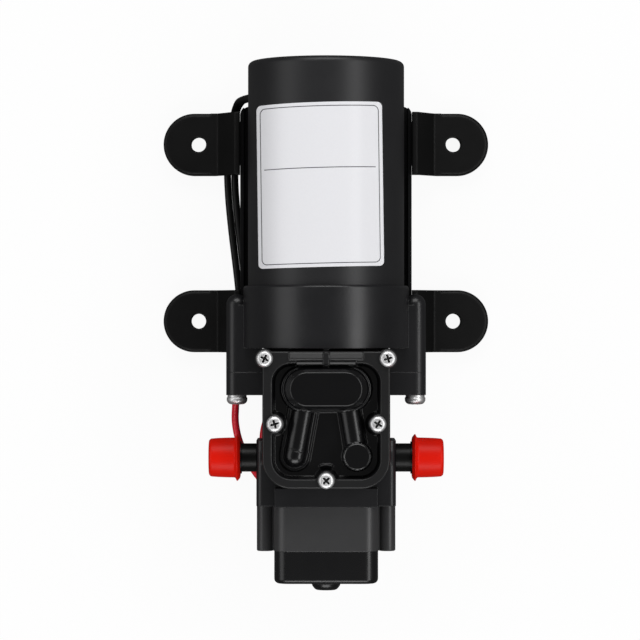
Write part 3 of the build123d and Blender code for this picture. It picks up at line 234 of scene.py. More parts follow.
metal_finish("bright_zinc", (0.95, 0.95, 0.95), (0.88, 0.88, 0.89), 0.46, 0.10, 0.5, 0.002)
metal_finish("steel", (0.60, 0.60, 0.61), (0.50, 0.50, 0.51), 0.30, 0.12, 0.3, 0.003)
metal_finish("core_steel", (0.34, 0.34, 0.35), (0.26, 0.25, 0.25), 0.45, 0.15, 0.4, 0.008)
metal_finish("copper", (0.80, 0.38, 0.22), (0.66, 0.28, 0.15), 0.32, 0.12, 0.4, 0.006)
metal_finish("brass_parts", (0.80, 0.60, 0.30), (0.70, 0.50, 0.24), 0.34, 0.12, 0.4, 0.004)

# %% [markdown]
# The coloured plastics: soft red vinyl for the transit caps, a slightly bluer red for the
# wire, a brown board and a white nylon. Vinyl lets a little light in, which real-time viewers
# don't show, so its glow comes from a lighter base and a weak, broad gloss instead.

# %% Coloured plastics
def colour_finish(name, base, shade, roughness, grain_size, grain_depth, **shader):
    made = Finish(name, roughness=roughness, **shader)
    cloud = made.grain(5.0, detail=3.0)
    fine = made.grain(grain_size, detail=2.0)
    made.feed("Base Color", made.blend(cloud, base, shade))
    made.feed("Roughness", fine * 0.10 + (roughness - 0.05))
    made.relief(fine, grain_depth)
    finishes[name] = made.material


colour_finish("red_cap", (0.86, 0.011, 0.002), (0.76, 0.008, 0.002), 0.38, 0.5, 0.004, specular=0.16)
colour_finish("red_lead", (0.93, 0.022, 0.044), (0.86, 0.016, 0.036), 0.30, 0.5, 0.003, specular=0.5)
colour_finish("board", (0.20, 0.11, 0.05), (0.15, 0.08, 0.035), 0.55, 0.4, 0.010, specular=0.4)
colour_finish("white_plastic", (0.80, 0.80, 0.78), (0.72, 0.72, 0.70), 0.42, 0.5, 0.006, specular=0.4)
print("finishes", sorted(finishes))

# %% [markdown]
# ## The label film
# The real label carries printing. This one keeps its place and finish, and only its border
# and one rule are drawn. The lines could be thin strips of mesh, but they are ink: they have
# no height. So the colour comes from a distance: how far a point lies inside a rounded
# rectangle, after two sums that centre and slant the pattern with the film. In the photo the film
# is evenly bright right across the can, so its normal is turned most of the way to straight up.

# %% Label with a border and a rule, in millimetres
label_x, label_y, label_half_w, label_half_h = -1.88, 13.26, 19.35, 25.15
label_lean, label_rise = math.tan(math.radians(0.8)), math.tan(math.radians(1.4))
line_corner, line_inset, line_half = 1.6, 1.15, 0.13
rule_y, rule_half_w = 5.2, 17.15


def label_finish():
    made = Finish("label_film", roughness=0.33, specular=0.5, coat=0.25, coat_roughness=0.18)
    across = made.node("ShaderNodeSeparateXYZ", {}, {0: made.place}, "X") * (1 / mm) - label_x
    along = made.node("ShaderNodeSeparateXYZ", {}, {0: made.place}, "Y") * (1 / mm) - label_y
    x = across + along * label_lean
    y = along - across * label_rise
    out_x = (abs(x) - (label_half_w - line_inset - line_corner)).at_least(0.0)
    out_y = (abs(y) - (label_half_h - line_inset - line_corner)).at_least(0.0)
    border = abs((out_x * out_x + out_y * out_y) ** 0.5 - line_corner) < line_half
    rule = (abs(y - rule_y) < line_half) * (abs(x) < rule_half_w)
    fibre = made.grain(0.6, detail=3.0)
    paper = made.blend(fibre, (0.87, 0.87, 0.90), (0.91, 0.91, 0.94))
    made.feed("Base Color", made.blend(border.at_least(rule), paper, (0.055, 0.055, 0.065)))
    to_world = {"vector_type": "NORMAL", "convert_from": "OBJECT", "convert_to": "WORLD"}
    upright = made.node("ShaderNodeVectorTransform", to_world, {0: (0.0, 0.0, 1.0)})
    curved = made.node("ShaderNodeNewGeometry", {}, {}, "Normal")
    evened = made.node("ShaderNodeVectorMath", {"operation": "SCALE"}, {0: upright, "Scale": 1.4})
    evened = made.node("ShaderNodeVectorMath", {"operation": "ADD"}, {0: evened, 1: curved})
    evened = made.node("ShaderNodeVectorMath", {"operation": "NORMALIZE"}, {0: evened})
    bump = {"Height": fibre, "Distance": 0.003 * mm, "Normal": evened}
    made.feed("Normal", made.node("ShaderNodeBump", {}, bump))
    finishes["label_film"] = made.material


label_finish()
print("label line inside the edge by", line_inset, "mm")

# %% [markdown]
# ## Which finish goes where
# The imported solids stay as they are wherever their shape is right: a better material in their
# slot is enough. Every node comes with its slot's name, and gets the finish of that name unless
# look_of says otherwise. The table says which slot is expected where, so that a changed pack is
# noticed here.

# %% Give every node its finish
slot_nodes = {
    "motor_paint": ["motor_can"],
    "label_film": ["rating_label"],
    "housing_plastic": ["crank_housing", "pump_body", "valve_plate"],
    "cover_plastic": ["front_cover"],
    "switch_plastic": ["switch_housing", "switch_cap", "adjusting_screw"],
    "fitting_plastic": ["left_port_fitting", "right_port_fitting"],
    "foot_rubber": ["upper_left_foot", "upper_right_foot", "lower_left_foot", "lower_right_foot"],
    "bracket_paint": ["base_bracket"],
    "red_cap": ["left_cap", "right_cap"],
    "black_lead": ["motor_leads", "lead_splices"],
    "red_lead": ["switch_leads", "terminal_sleeves"],
}
# The switch cap and adjusting screw take the darker copy of the switch plastic, whose base is painted shade.
look_of = {"switch_cap": "shaded_cap_plastic", "adjusting_screw": "shaded_cap_plastic"}
slot_of = {}
for name, made in nodes.items():
    slot_of[name] = made.data.materials[0].name.split(".")[0]
    made.data.materials[0] = finishes[look_of.get(name, slot_of[name])]
for slot, members in slot_nodes.items():
    for name in members:
        assert slot_of[name] == slot, (name, slot_of[name])
print("nodes with a finish", len(slot_of))

# %% [markdown]
# ## Soft edges without extra mesh
# No moulding has a perfectly sharp edge, and on black plastic the thin bright line along an
# edge is most of what is seen. A Bevel modifier could round every edge, but on these solids,
# which come as long thin triangles, it pinches at the corners. The Bevel shader node turns the
# normal near an edge instead, by a radius that each finish sets, and leaves the solid alone.

# %% [markdown]
# ## The front cover as a height map
# The cover is the face of the pump: a rim round a sunk floor, an oval dome, two cast water
# channels, a round pot and five screw seats, all with cast fillets. Seen from above it has one
# height at every point, so it is made as a fine grid whose height is a formula. Each form is
# a distance from its outline; a soft step turns that distance into a wall with rounded edges,
# and a soft maximum joins the forms with a fillet, as in a casting.

# %% Distances from outlines, in millimetres
def from_circle(x, y, centre, radius):
    return np.hypot(x - centre[0], y - centre[1]) - radius


def from_box(x, y, centre, half_w, half_h, corner):
    out_x = np.abs(x - centre[0]) - (half_w - corner)
    out_y = np.abs(y - centre[1]) - (half_h - corner)
    outside = np.hypot(np.maximum(out_x, 0), np.maximum(out_y, 0))
    return outside + np.minimum(np.maximum(out_x, out_y), 0) - corner


def along_run(x, y, start, end):
    """How far to the side of a run a point is, and how far along it, from 0 to 1."""
    run = np.array(end) - np.array(start)
    share = np.clip(((x - start[0]) * run[0] + (y - start[1]) * run[1]) / (run @ run), 0, 1)
    return np.hypot(x - start[0] - share * run[0], y - start[1] - share * run[1]), share


# %% Soft steps and soft joins
def step_up(outside, low, high, width):
    """Low outside an outline, high inside it, with a rounded wall of this width between."""
    share = np.clip(0.5 - outside / width, 0, 1)
    return low + (high - low) * share * share * (3 - 2 * share)


def join(first, second, fillet):
    share = np.clip(0.5 + 0.5 * (first - second) / fillet, 0, 1)
    return second + (first - second) * share + fillet * share * (1 - share)


# %% The cover's sizes, in millimetres
floor_z, rim_z, foot_z, buried_z = 53.6, 58.0, 51.0, 50.5
half_w, top_y, low_y, corner_r = 19.45, -37.6, -79.5, 8.9
rim_w, recess_y, edge_round = 3.3, -41.6, 0.45
screw_at = {
    "top left": ((-18.75, -39.85), 3.0), "top right": ((18.75, -39.85), 3.0),
    "mid left": ((-15.7, -59.7), 3.25), "mid right": ((15.7, -59.7), 3.25), "low": ((0, -76.9), 3.25),
}
left_run = ((-6.87, -54.6), (-9.55, -69.6))
right_run = ((6.9, -54.6), (9.35, -69.65))
tube_r, tube_z = 3.6, 53.9
bed_half_w, bed_z = 4.85, 54.8
swell_h, swell_at, swell_w = 0.2, 0.88, 0.022
pot_r, pot_z, pot_dish = 4.5, 58.2, 0.35
dome_at = (0, -49.1)
base_half_w, base_half_h, base_z = 14.0, 7.2, 57.4
step_half_w, step_half_h, step_z = 13.0, 6.5, 59.0
crown_half_w, crown_half_h, crown_h = 10.75, 5.0, 1.8
bar_half_w, bar_half_h, bar_z, bar_fall = 11.45, 1.3, 58.7, 0.375
band_half_w, band_half_h, band_y, band_z, band_fall = 9.2, 0.75, top_y - 3.5, 58.45, 0.48
gusset_half_w, gusset_half_h, gusset_z = 1.2, 2.4, 59.1
arc_r, arc_half_w, arc_half_deg, arc_z = 4.5, 0.5, 28, 55.2


def cover_outline(x, y):
    mid_y = (top_y + low_y) / 2
    shape = from_box(x, y, (0, mid_y), half_w, (top_y - low_y) / 2, corner_r)
    square_top = from_box(x, y, (0, (top_y + mid_y) / 2), half_w, (top_y - mid_y) / 2, 0.4)
    shape = np.minimum(shape, square_top)
    for name in ("top left", "top right"):
        shape = np.minimum(shape, from_circle(x, y, *screw_at[name]))
    return shape


def cover_recess(x, y):
    """Distance from the sunk floor's plain outline, before the screw seats bite into it."""
    low, corner = low_y + rim_w, corner_r - rim_w
    return from_box(x, y, (0, (recess_y + low) / 2), half_w - rim_w, (recess_y - low) / 2, corner)


def cover_raised(x, y):
    """One on the rim and the bar, which get a painted sheen, and nought in the recess."""
    return np.clip(cover_recess(x, y) / 0.3, 0, 1)


# %% The cover's height at a point
def with_form(z, outside, height, wall, fillet):
    """The surface joined to a form that rises from under the floor inside its outline."""
    return join(z, step_up(outside, buried_z, height, wall), fillet)


def with_tube(z, side, radius):
    """The surface joined to a half-sunk round water channel."""
    tube = tube_z + np.sqrt(np.maximum(radius ** 2 - side ** 2, 0)) - 4 * np.maximum(side - radius, 0)
    return join(z, tube, 0.25)


def cover_height(x, y):
    recess = cover_recess(x, y)
    for place, radius in screw_at.values():
        recess = join(recess, -from_circle(x, y, place, radius), 0.6)
    z = step_up(recess, rim_z, floor_z, 0.9)

    side, share = along_run(x, y, *left_run)
    z = with_form(z, side - bed_half_w, bed_z, 0.7, 0.15)
    z = with_tube(z, side, tube_r + swell_h * np.exp(-((share - swell_at) / swell_w) ** 2))
    z = with_tube(z, along_run(x, y, *right_run)[0], tube_r)
    pot = from_circle(x, y, right_run[1], pot_r)
    z = with_form(z, pot, pot_z - step_up(pot + 0.6, 0, pot_dish, 0.3), 0.6, 0.15)

    base = from_box(x, y, dome_at, base_half_w, base_half_h, base_half_h)
    z = with_form(z, base, base_z, 0.7, 0.15)
    step = from_box(x, y, dome_at, step_half_w, step_half_h, step_half_h)
    z = with_form(z, step, step_z, 0.6, 0.15)
    crown = from_box(x, y, dome_at, crown_half_w, crown_half_h, crown_half_h)
    slope = np.clip(-step / np.maximum(-step + np.maximum(crown, 0), 1e-6), 0, 1)
    z = np.where(step < -0.3, join(z, step_z + crown_h * slope - 0.02, 0.12), z)

    bar_y = top_y - bar_half_h
    bar = from_box(x, y, (0, bar_y), bar_half_w, bar_half_h, 0.3)
    z = with_form(z, bar, bar_z + bar_fall * (bar_y - y), 0.4, 0.1)
    band = from_box(x, y, (0, band_y), band_half_w, band_half_h, 0.2)
    z = with_form(z, band, band_z + band_fall * (band_y - y), 0.3, 0.1)
    gusset = from_box(x, y, (0, top_y - gusset_half_h), gusset_half_w, gusset_half_h, 1.0)
    z = with_form(z, gusset, gusset_z, 0.5, 0.1)
    place, radius = screw_at["low"]
    angle = np.abs(np.arctan2(x - place[0], y - place[1])) - math.radians(arc_half_deg)
    arc = np.maximum(np.abs(from_circle(x, y, place, arc_r)) - arc_half_w, angle * arc_r)
    z = with_form(z, arc, arc_z, 0.5, 0.15)

    edge = np.clip(-cover_outline(x, y), 0, edge_round)
    return z - edge_round + np.sqrt(edge_round ** 2 - (edge_round - edge) ** 2)


# %% New pieces: linked, baked to plain mesh, dressed as part of a body
def add_object(name, data):
    made = bpy.data.objects.new(name, data)
    bpy.context.scene.collection.objects.link(made)
    return made


def bake(made):
    """Put the evaluated mesh in the place of the object's mesh and modifiers."""
    mesh = bpy.data.meshes.new_from_object(made.evaluated_get(bpy.context.evaluated_depsgraph_get()))
    made.modifiers.clear()
    made.data = mesh
    return mesh


def dress(made, body, replaced):
    """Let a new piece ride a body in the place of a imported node."""
    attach(made, body)
    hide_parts(replaced)
    print(made.name, "faces", len(made.data.polygons))


# %% A grid cut to the outline
def of_cells(a):
    """The mean of each grid cell's four corners."""
    return (a[:-1, :-1] + a[1:, :-1] + a[:-1, 1:] + a[1:, 1:]) / 4


def sculpted_cover(spacing, screw_hole_r=1.55, probe=0.01):
    xs = np.arange(-22.0, 22.0 + spacing / 2, spacing)
    ys = np.arange(low_y - 0.6, top_y + 1.2, spacing)
    x, y = np.meshgrid(xs, ys)
    rows, columns = x.shape
    mid_x, mid_y = of_cells(x), of_cells(y)
    keep = cover_outline(mid_x, mid_y) < -0.1 * spacing
    for place, radius in screw_at.values():
        keep &= from_circle(mid_x, mid_y, place, screw_hole_r) > 0
    used = np.zeros((rows, columns), int)
    for down in (0, 1):
        for right in (0, 1):
            used[down:rows - 1 + down, right:columns - 1 + right] += keep
    near = (used > 0) & (used < 4) & (np.abs(cover_outline(x, y)) < 1.2 * spacing)
    for repeat in range(3):
        off = cover_outline(x, y)
        slope_x = (cover_outline(x + probe, y) - cover_outline(x - probe, y)) / (2 * probe)
        slope_y = (cover_outline(x, y + probe) - cover_outline(x, y - probe)) / (2 * probe)
        x = np.where(near, x - off * slope_x, x)
        y = np.where(near, y - off * slope_y, y)
    z = cover_height(x, y)
    number = np.cumsum(used.ravel() > 0).reshape(rows, columns) - 1
    points = np.stack([x, y, z], -1)[used > 0] * mm
    corners = (number[:-1, :-1], number[:-1, 1:], number[1:, 1:], number[1:, :-1])
    faces = np.stack([corner[keep] for corner in corners], -1)
    mesh = bpy.data.meshes.new("cover")
    mesh.from_pydata(points.tolist(), [], faces.tolist())
    spots = np.array([face.center for face in mesh.polygons]) / mm
    # Rim and bar faces are marked for the cover's painted sheen.
    raised = mesh.attributes.new("raised", "FLOAT", "FACE")
    raised.data.foreach_set("value", cover_raised(*spots.T[:2]))
    work = bmesh.new()
    work.from_mesh(mesh)
    rim = [edge for edge in work.edges if edge.is_boundary]
    outer = [
        edge for edge in rim
        if all(abs(float(cover_outline(v.co.x / mm, v.co.y / mm))) < 0.02 for v in edge.verts)
    ]
    grown = bmesh.ops.extrude_edge_only(work, edges=outer)["geom"]
    for point in grown:
        if isinstance(point, bmesh.types.BMVert):
            point.co.z = foot_z * mm
    for face in work.faces:
        face.smooth = True
    bmesh.ops.recalc_face_normals(work, faces=work.faces)
    if sum(f.normal.z for f in work.faces) < 0:
        bmesh.ops.reverse_faces(work, faces=work.faces)
    work.to_mesh(mesh)
    work.free()
    print("cover grid faces", len(mesh.polygons), "outer edges", len(outer), "of", len(rim))
    return mesh


# %% Make the cover and give it a wall
cover = add_object("front_cover_casting", sculpted_cover(0.24))
wall = cover.modifiers.new("wall", "SOLIDIFY")
wall.thickness = 0.8 * mm
wall.offset = -1
thick = bake(cover)
thick.materials.clear()
thick.materials.append(finishes["cover_plastic"])
dress(cover, "housing", "front_cover")

# %% [markdown]
# ## Screws
# Seven cross-head screws can be seen: five in the cover, head up, and two long ones in the
# ears. The head is modelled once: a domed pan turned on a lathe, with a four-winged recess cut
# into it by a Boolean. Geometry Nodes then put a head and a shank at every point of a small
# mesh that holds each screw's place and turn. The tree's inputs are its sizes, and it ends in
# Realize Instances, because the export keeps only real mesh.

# %% A lathe
def turned(profile, steps, name):
    """A closed solid from a profile of (radius, height) in millimetres, turned about Z.
    A profile that doesn't start on the axis comes back to its first point."""
    work = bmesh.new()
    rings = []
    for radius, height in profile:
        if radius < 1e-6:
            rings.append([work.verts.new((0, 0, height * mm))])
            continue
        angles = [2 * math.pi * step / steps for step in range(steps)]
        spots = [(radius * mm * math.cos(a), radius * mm * math.sin(a), height * mm) for a in angles]
        rings.append([work.verts.new(spot) for spot in spots])
    pairs = list(zip(rings, rings[1:]))
    if len(rings[0]) > 1:
        pairs.append((rings[-1], rings[0]))
    for below, above in pairs:
        for step in range(steps):
            after = (step + 1) % steps
            if len(below) == 1:
                work.faces.new((below[0], above[after], above[step]))
            elif len(above) == 1:
                work.faces.new((below[step], below[after], above[0]))
            else:
                work.faces.new((below[step], below[after], above[after], above[step]))
    bmesh.ops.recalc_face_normals(work, faces=work.faces)
    for face in work.faces:
        face.smooth = True
    mesh = bpy.data.meshes.new(name)
    work.to_mesh(mesh)
    work.free()
    return mesh


# %% One pan head with its recess
head_r, head_h = 2.55, 1.8
pan = [(0, 0), (head_r - 0.12, 0.0), (head_r, 0.12), (head_r, 0.5)]
for step in range(1, 10):
    angle = math.radians(step * 10)
    pan.append((head_r * (0.52 + 0.48 * math.cos(angle)), 0.5 + (head_h - 0.56) * math.sin(angle)))
pan += [(head_r * 0.3, head_h - 0.01), (0, head_h)]


def cross_cutter():
    """Four tapered wings, as the driver's tip has: reach, half width and height at top and tip."""
    work = bmesh.new()
    for turn in (0, 90):
        corners = []
        for reach, half, height in ((1.55, 0.40, head_h + 0.5), (0.85, 0.24, head_h - 1.2)):
            for sx, sy in ((-1, -1), (1, -1), (1, 1), (-1, 1)):
                spot = Vector((sx * reach * mm, sy * half * mm, height * mm))
                corners.append(work.verts.new(Matrix.Rotation(math.radians(turn), 3, "Z") @ spot))
        top, low = corners[:4], corners[4:]
        work.faces.new(top)
        work.faces.new(low[::-1])
        for side in range(4):
            after = (side + 1) % 4
            work.faces.new((top[after], top[side], low[side], low[after]))
    bmesh.ops.recalc_face_normals(work, faces=work.faces)
    mesh = bpy.data.meshes.new("cross_cutter")
    work.to_mesh(mesh)
    work.free()
    return mesh


head = add_object("pan_head", turned(pan, 48, "pan_head"))
cutter = add_object("cross_cutter", cross_cutter())
cut = head.modifiers.new("recess", "BOOLEAN")
cut.operation = "DIFFERENCE"
cut.solver = "EXACT"
cut.use_self = True
cut.object = cutter
cut_mesh = bake(head)
bpy.data.objects.remove(cutter)


def skin_height(radius):
    """The pan's uncut height at a radius, both in millimetres."""
    outer = [p for p in pan[3:] if p[0] <= head_r]
    for (r1, h1), (r2, h2) in zip(outer, outer[1:]):
        if r2 <= radius <= r1 and r1 > r2:
            return h2 + (h1 - h2) * (radius - r2) / (r1 - r2)
    return head_h


# Faces inside the cross recess get the plating's painted shade.
recess = cut_mesh.attributes.new("recess", "FLOAT", "FACE")
for face in cut_mesh.polygons:
    spot = face.center / mm
    radius = math.hypot(spot.x, spot.y)
    inside = 0.4 < spot.z < skin_height(radius) - 0.04 and radius < 1.7
    recess.data[face.index].value = 1.0 if inside else 0.0
    face.use_smooth = not inside
print("pan head faces", len(cut_mesh.polygons), "in the recess", sum(1 for d in recess.data if d.value > 0))


# %% A tree that puts a screw at every point
def screw_tree():
    tree = bpy.data.node_groups.new("screw_row", "GeometryNodeTree")
    for kind, title in (
        ("Geometry", "Seats"), ("Object", "Head"), ("Float", "Head scale"),
        ("Float", "Shank radius"), ("Float", "Shank length"), ("Material", "Finish"),
    ):
        tree.interface.new_socket(title, in_out="INPUT", socket_type="NodeSocket" + kind)
    tree.interface.new_socket("Screws", in_out="OUTPUT", socket_type="NodeSocketGeometry")
    add, link = tree.nodes.new, tree.links.new
    start, end = add("NodeGroupInput"), add("NodeGroupOutput")
    shape = add("GeometryNodeObjectInfo")
    sized = add("GeometryNodeTransform")
    shank = add("GeometryNodeMeshCylinder")
    shank.inputs["Vertices"].default_value = 24
    half = add("ShaderNodeMath")
    half.operation = "MULTIPLY"
    half.inputs[1].default_value = -0.5
    drop = add("ShaderNodeCombineXYZ")
    lowered = add("GeometryNodeTransform")
    whole = add("GeometryNodeJoinGeometry")
    turn = add("GeometryNodeInputNamedAttribute")
    turn.data_type = "FLOAT_VECTOR"
    turn.inputs["Name"].default_value = "turn"
    row = add("GeometryNodeInstanceOnPoints")
    real = add("GeometryNodeRealizeInstances")
    paint = add("GeometryNodeSetMaterial")
    link(start.outputs["Seats"], row.inputs["Points"])
    link(start.outputs["Head"], shape.inputs["Object"])
    link(shape.outputs["Geometry"], sized.inputs["Geometry"])
    link(start.outputs["Head scale"], sized.inputs["Scale"])
    link(start.outputs["Shank radius"], shank.inputs["Radius"])
    link(start.outputs["Shank length"], shank.inputs["Depth"])
    link(start.outputs["Shank length"], half.inputs[0])
    link(half.outputs[0], drop.inputs["Z"])
    link(drop.outputs[0], lowered.inputs["Translation"])
    link(shank.outputs["Mesh"], lowered.inputs["Geometry"])
    link(lowered.outputs["Geometry"], whole.inputs["Geometry"])
    link(sized.outputs["Geometry"], whole.inputs["Geometry"])
    link(whole.outputs["Geometry"], row.inputs["Instance"])
    link(turn.outputs["Attribute"], row.inputs["Rotation"])
    link(row.outputs["Instances"], real.inputs["Geometry"])
    link(real.outputs["Geometry"], paint.inputs["Geometry"])
    link(start.outputs["Finish"], paint.inputs["Material"])
    link(paint.outputs["Geometry"], end.inputs["Screws"])
    return tree


row_tree = screw_tree()


# %% A row of screws as plain mesh
def screw_row(name, seats, sizes, replaced):
    """Screws at these seats: a place in millimetres and three turns in degrees for each."""
    mesh = bpy.data.meshes.new(name)
    mesh.from_pydata([tuple(c * mm for c in place) for place, angles in seats], [], [])
    turns = mesh.attributes.new("turn", "FLOAT_VECTOR", "POINT")
    for index, (place, angles) in enumerate(seats):
        turns.data[index].vector = [math.radians(a) for a in angles]
    made = add_object(name, mesh)
    row = made.modifiers.new("row", "NODES")
    row.node_group = row_tree
    values = {"Head": head, "Finish": finishes["bright_zinc"], **sizes}
    for item in row_tree.interface.items_tree:
        if item.in_out == "INPUT" and item.name in values:
            row[item.identifier] = values[item.name]
    bake(made)
    dress(made, "housing", replaced)


# %% Cover screws and ear screws
motor_axis_z = 30.5
ear_x, ear_y, ear_head_r = 27.9, -52.3, 3.25
turns_deg = {"top left": 20, "top right": -28, "mid left": 62, "mid right": 15, "low": 0}
cover_seats = [
    ((*place, rim_z), (0, 0, turns_deg[name] + 45)) for name, (place, radius) in screw_at.items()
]
cover_sizes = {"Head scale": 1.0, "Shank radius": 1.4 * mm, "Shank length": 19.5 * mm}
screw_row("cover_screw_set", cover_seats, cover_sizes, "cover_screws")
ear_seats = [((side * ear_x, ear_y, motor_axis_z), (90, 0, 0)) for side in (-1, 1)]
ear_sizes = {"Head scale": ear_head_r / head_r, "Shank radius": 1.9 * mm, "Shank length": 18.7 * mm}
screw_row("ear_screw_set", ear_seats, ear_sizes, "ear_screws")
bpy.data.objects.remove(head)

# %% [markdown]
# ## Hanging the film
# Seen closely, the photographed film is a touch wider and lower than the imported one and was
# stuck on a little askew: its ends slant more than its sides. Each of its corners is moved in the
# view from above and then laid back on the round can at its own distance from the motor's axis.

# %% Slant the film and lay it on the can
packed_x, packed_y, packed_half_w, packed_half_h = -1.75, 13.9, 19.0, 25.1
packed_cos, packed_sin = math.cos(math.radians(1.8)), math.sin(math.radians(1.8))


def hung_label():
    mesh = nodes["rating_label"].data.copy()
    for corner in mesh.vertices:
        x, y, z = corner.co / mm
        reach = math.hypot(x, z - motor_axis_z)
        x, y = x - packed_x, y - packed_y
        across = (x * packed_cos + y * packed_sin) * label_half_w / packed_half_w
        along = (y * packed_cos - x * packed_sin) * label_half_h / packed_half_h
        x, y = label_x + across - along * label_lean, label_y + along + across * label_rise
        corner.co = Vector((x, y, motor_axis_z + math.sqrt(reach * reach - x * x))) * mm
    return mesh


dress(add_object("rating_label_hung", hung_label()), "housing", "rating_label")

# %% [markdown]
# ## Two leads side by side
# The black leads touch on their way past the can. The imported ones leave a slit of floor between
# them, so the inner lead is laid against the outer one, and back to its own place under the feet.

# %% Lay the inner lead against the outer one
lead_y = (-21.0, -11.0, 0.0, 11.0, 20.0, 28.0)
outer_lead_x = (-27.9, -29.0, -30.4, -31.5, -31.9, -31.4)
inner_lead_x = (-25.4, -26.3, -27.67, -28.84, -29.18, -28.9)
lead_spacing, lead_top_z = 2.34, 4.0
laid_y, laid_share = (-27.0, -15.0, 17.0, 28.0), (0.0, 1.0, 1.0, 0.0)


def touching_leads():
    mesh = nodes["motor_leads"].data.copy()
    for corner in mesh.vertices:
        x, y, z = corner.co / mm
        outer, inner = np.interp(y, lead_y, outer_lead_x), np.interp(y, lead_y, inner_lead_x)
        if abs(x - inner) < abs(x - outer) and z < lead_top_z:
            corner.co.x += (outer + lead_spacing - inner) * np.interp(y, laid_y, laid_share) * mm
    return mesh


dress(add_object("motor_leads_laid", touching_leads()), "housing", "motor_leads")

# %% [markdown]
# ## Soft red caps
# Each port carries a thin moulded transit cap with a pointed sealing flange at its mouth. The
# packed caps have the right size but crisp corners. A cap is round, so it is turned on the same
# lathe, with a soft rolled end, a slight belly in its side and a shallow dish in its face.

# %% Turn and place the caps
cap_in_x, port_y, port_z = 26.6, -70.8, 38.5
roll_mid_r, roll_mid_h, roll_r = 4.83, 8.7, 1.1
cap_profile = [
    (0, 9.0), (4.6, 9.0), (4.9, 8.7), (5.1, 4.4), (5.2, 1.7), (5.2, 0.05), (5.3, 0.0), (5.9, 0.0),
    (6.4, 0.16), (7.1, 0.72), (7.26, 0.88), (7.3, 1.0), (7.26, 1.12), (7.0, 1.25), (6.45, 1.5),
    (6.24, 1.75), (6.20, 2.1), (6.18, 3.6), (6.14, 5.0), (6.08, 6.6), (6.00, 7.9), (5.93, 8.5),
]
for step in range(1, 9):
    angle = math.radians(step * 90 / 8)
    cap_profile.append((roll_mid_r + roll_r * math.cos(angle), roll_mid_h + roll_r * math.sin(angle)))
cap_profile += [(4.3, 9.76), (3.8, 9.66), (2.0, 9.62), (0, 9.62)]


def soft_cap(name, side, body):
    mesh = turned(cap_profile, 96, name)
    lay = Matrix.Rotation(math.radians(90), 4, "Y")
    mesh.transform(Matrix.Translation((cap_in_x * mm, port_y * mm, port_z * mm)) @ lay)
    if side < 0:
        mesh.transform(Matrix.Diagonal((-1, 1, 1, 1)))
        mesh.flip_normals()
    mesh.materials.append(finishes["red_cap"])
    dress(add_object(name, mesh), body, body)


soft_cap("left_cap_soft", -1, "left_cap")
soft_cap("right_cap_soft", 1, "right_cap")

# %% [markdown]
# ## The pressure switch
# The switch's two halves are deep boxes with well rounded corners, and the wide curve of those
# corners is what draws the pale stripe down each side. A box with changing size along its
# length is a run of rings: every ring is a rounded rectangle or a circle with the same number
# of points, and each is joined to the next. A run that comes back to its first ring is a
# hollow shell, closed all over.

# %% Rings and runs
switch_z = 35.0


def ring(y, half_w, half_h, corner, x=0.0, sides=0):
    """A rounded rectangle, circle or polygon across the Y axis, in millimetres."""
    points = []
    for quarter in range(4):
        way_x, way_z = ((1, 1), (-1, 1), (-1, -1), (1, -1))[quarter]
        for step in range(25):
            angle = math.radians(90 * quarter + 90 * step / 24)
            reach = corner
            if sides:
                half_turn = math.pi / sides
                reach *= math.cos(half_turn) / math.cos(angle % (2 * half_turn) - half_turn)
            across = x + way_x * (half_w - corner) + reach * math.cos(angle)
            up = switch_z + way_z * (half_h - corner) + reach * math.sin(angle)
            points.append((across * mm, y * mm, up * mm))
    return points


def round_rings(rows, x=0.0):
    """Circles from rows of place and radius, or polygons where a row also has a number of sides."""
    return [ring(y, radius, radius, radius, x, *sides) for y, radius, *sides in rows]


def runs_of_rings(name, runs):
    """One mesh of closed shells, each a list of rings that comes back to its first."""
    work = bmesh.new()
    for rings in runs:
        made = [[work.verts.new(point) for point in points] for points in rings]
        for first, second in zip(made, made[1:] + made[:1]):
            for step in range(len(first)):
                after = (step + 1) % len(first)
                work.faces.new((first[step], first[after], second[after], second[step]))
    bmesh.ops.remove_doubles(work, verts=work.verts, dist=1e-7)
    bmesh.ops.dissolve_degenerate(work, edges=work.edges, dist=1e-7)
    bmesh.ops.recalc_face_normals(work, faces=work.faces)
    mesh = bpy.data.meshes.new(name)
    work.to_mesh(mesh)
    work.free()
    mesh.shade_smooth()
    mesh.set_sharp_from_angle(angle=math.radians(32))
    return mesh


# %% Housing, cap and adjusting screw
start_y, split_y, end_y = -85.6, -99.2, -109.2
switch_half_h, switch_corner, end_round = 15.0, 4.4, 1.5
room = (14.2, 13.2, 2.6)
housing = [ring(y, 16.05, switch_half_h, switch_corner) for y in (start_y, split_y)]
housing += [ring(y, *room) for y in (split_y, -92.0)]
housing += round_rings([(-92.0, 5.95), (-87.2, 5.95), (-87.2, 9.35), (start_y, 9.35)])
bosses, webs = [], []
boss_rows = [
    (start_y, 2.6), (-99.7, 2.6), (-100.0, 2.35), (-100.0, 2.15), (-97.1, 2.15), (-97.1, 1.35),
    (start_y, 1.35),
]
for side in (-1, 1):
    bosses.append(round_rings(boss_rows, side * 19.0))
    web_start, web_end, web_x = start_y - 0.05, -99.9, side * 17.4
    web = [ring(y, 1.6, 1.3, 0.2, web_x) for y in (web_start, web_end)]
    webs.append([ring(web_start, 0.2, 0.2, 0.1, web_x)] + web + [ring(web_end, 0.2, 0.2, 0.1, web_x)])
cap = [ring(split_y, 16.0, switch_half_h, switch_corner)]
for step in range(7):
    angle = math.radians(15 * step)
    inset = end_round * (1 - math.cos(angle))
    along = end_y + end_round - end_round * math.sin(angle)
    cap.append(ring(along, 16.0 - inset, switch_half_h - inset, switch_corner - inset))
cap += round_rings([(end_y, 2.95), (-104.8, 2.95), (-104.8, 5.2), (-107.4, 5.2)])
cap += [ring(y, *room) for y in (-107.4, split_y)]
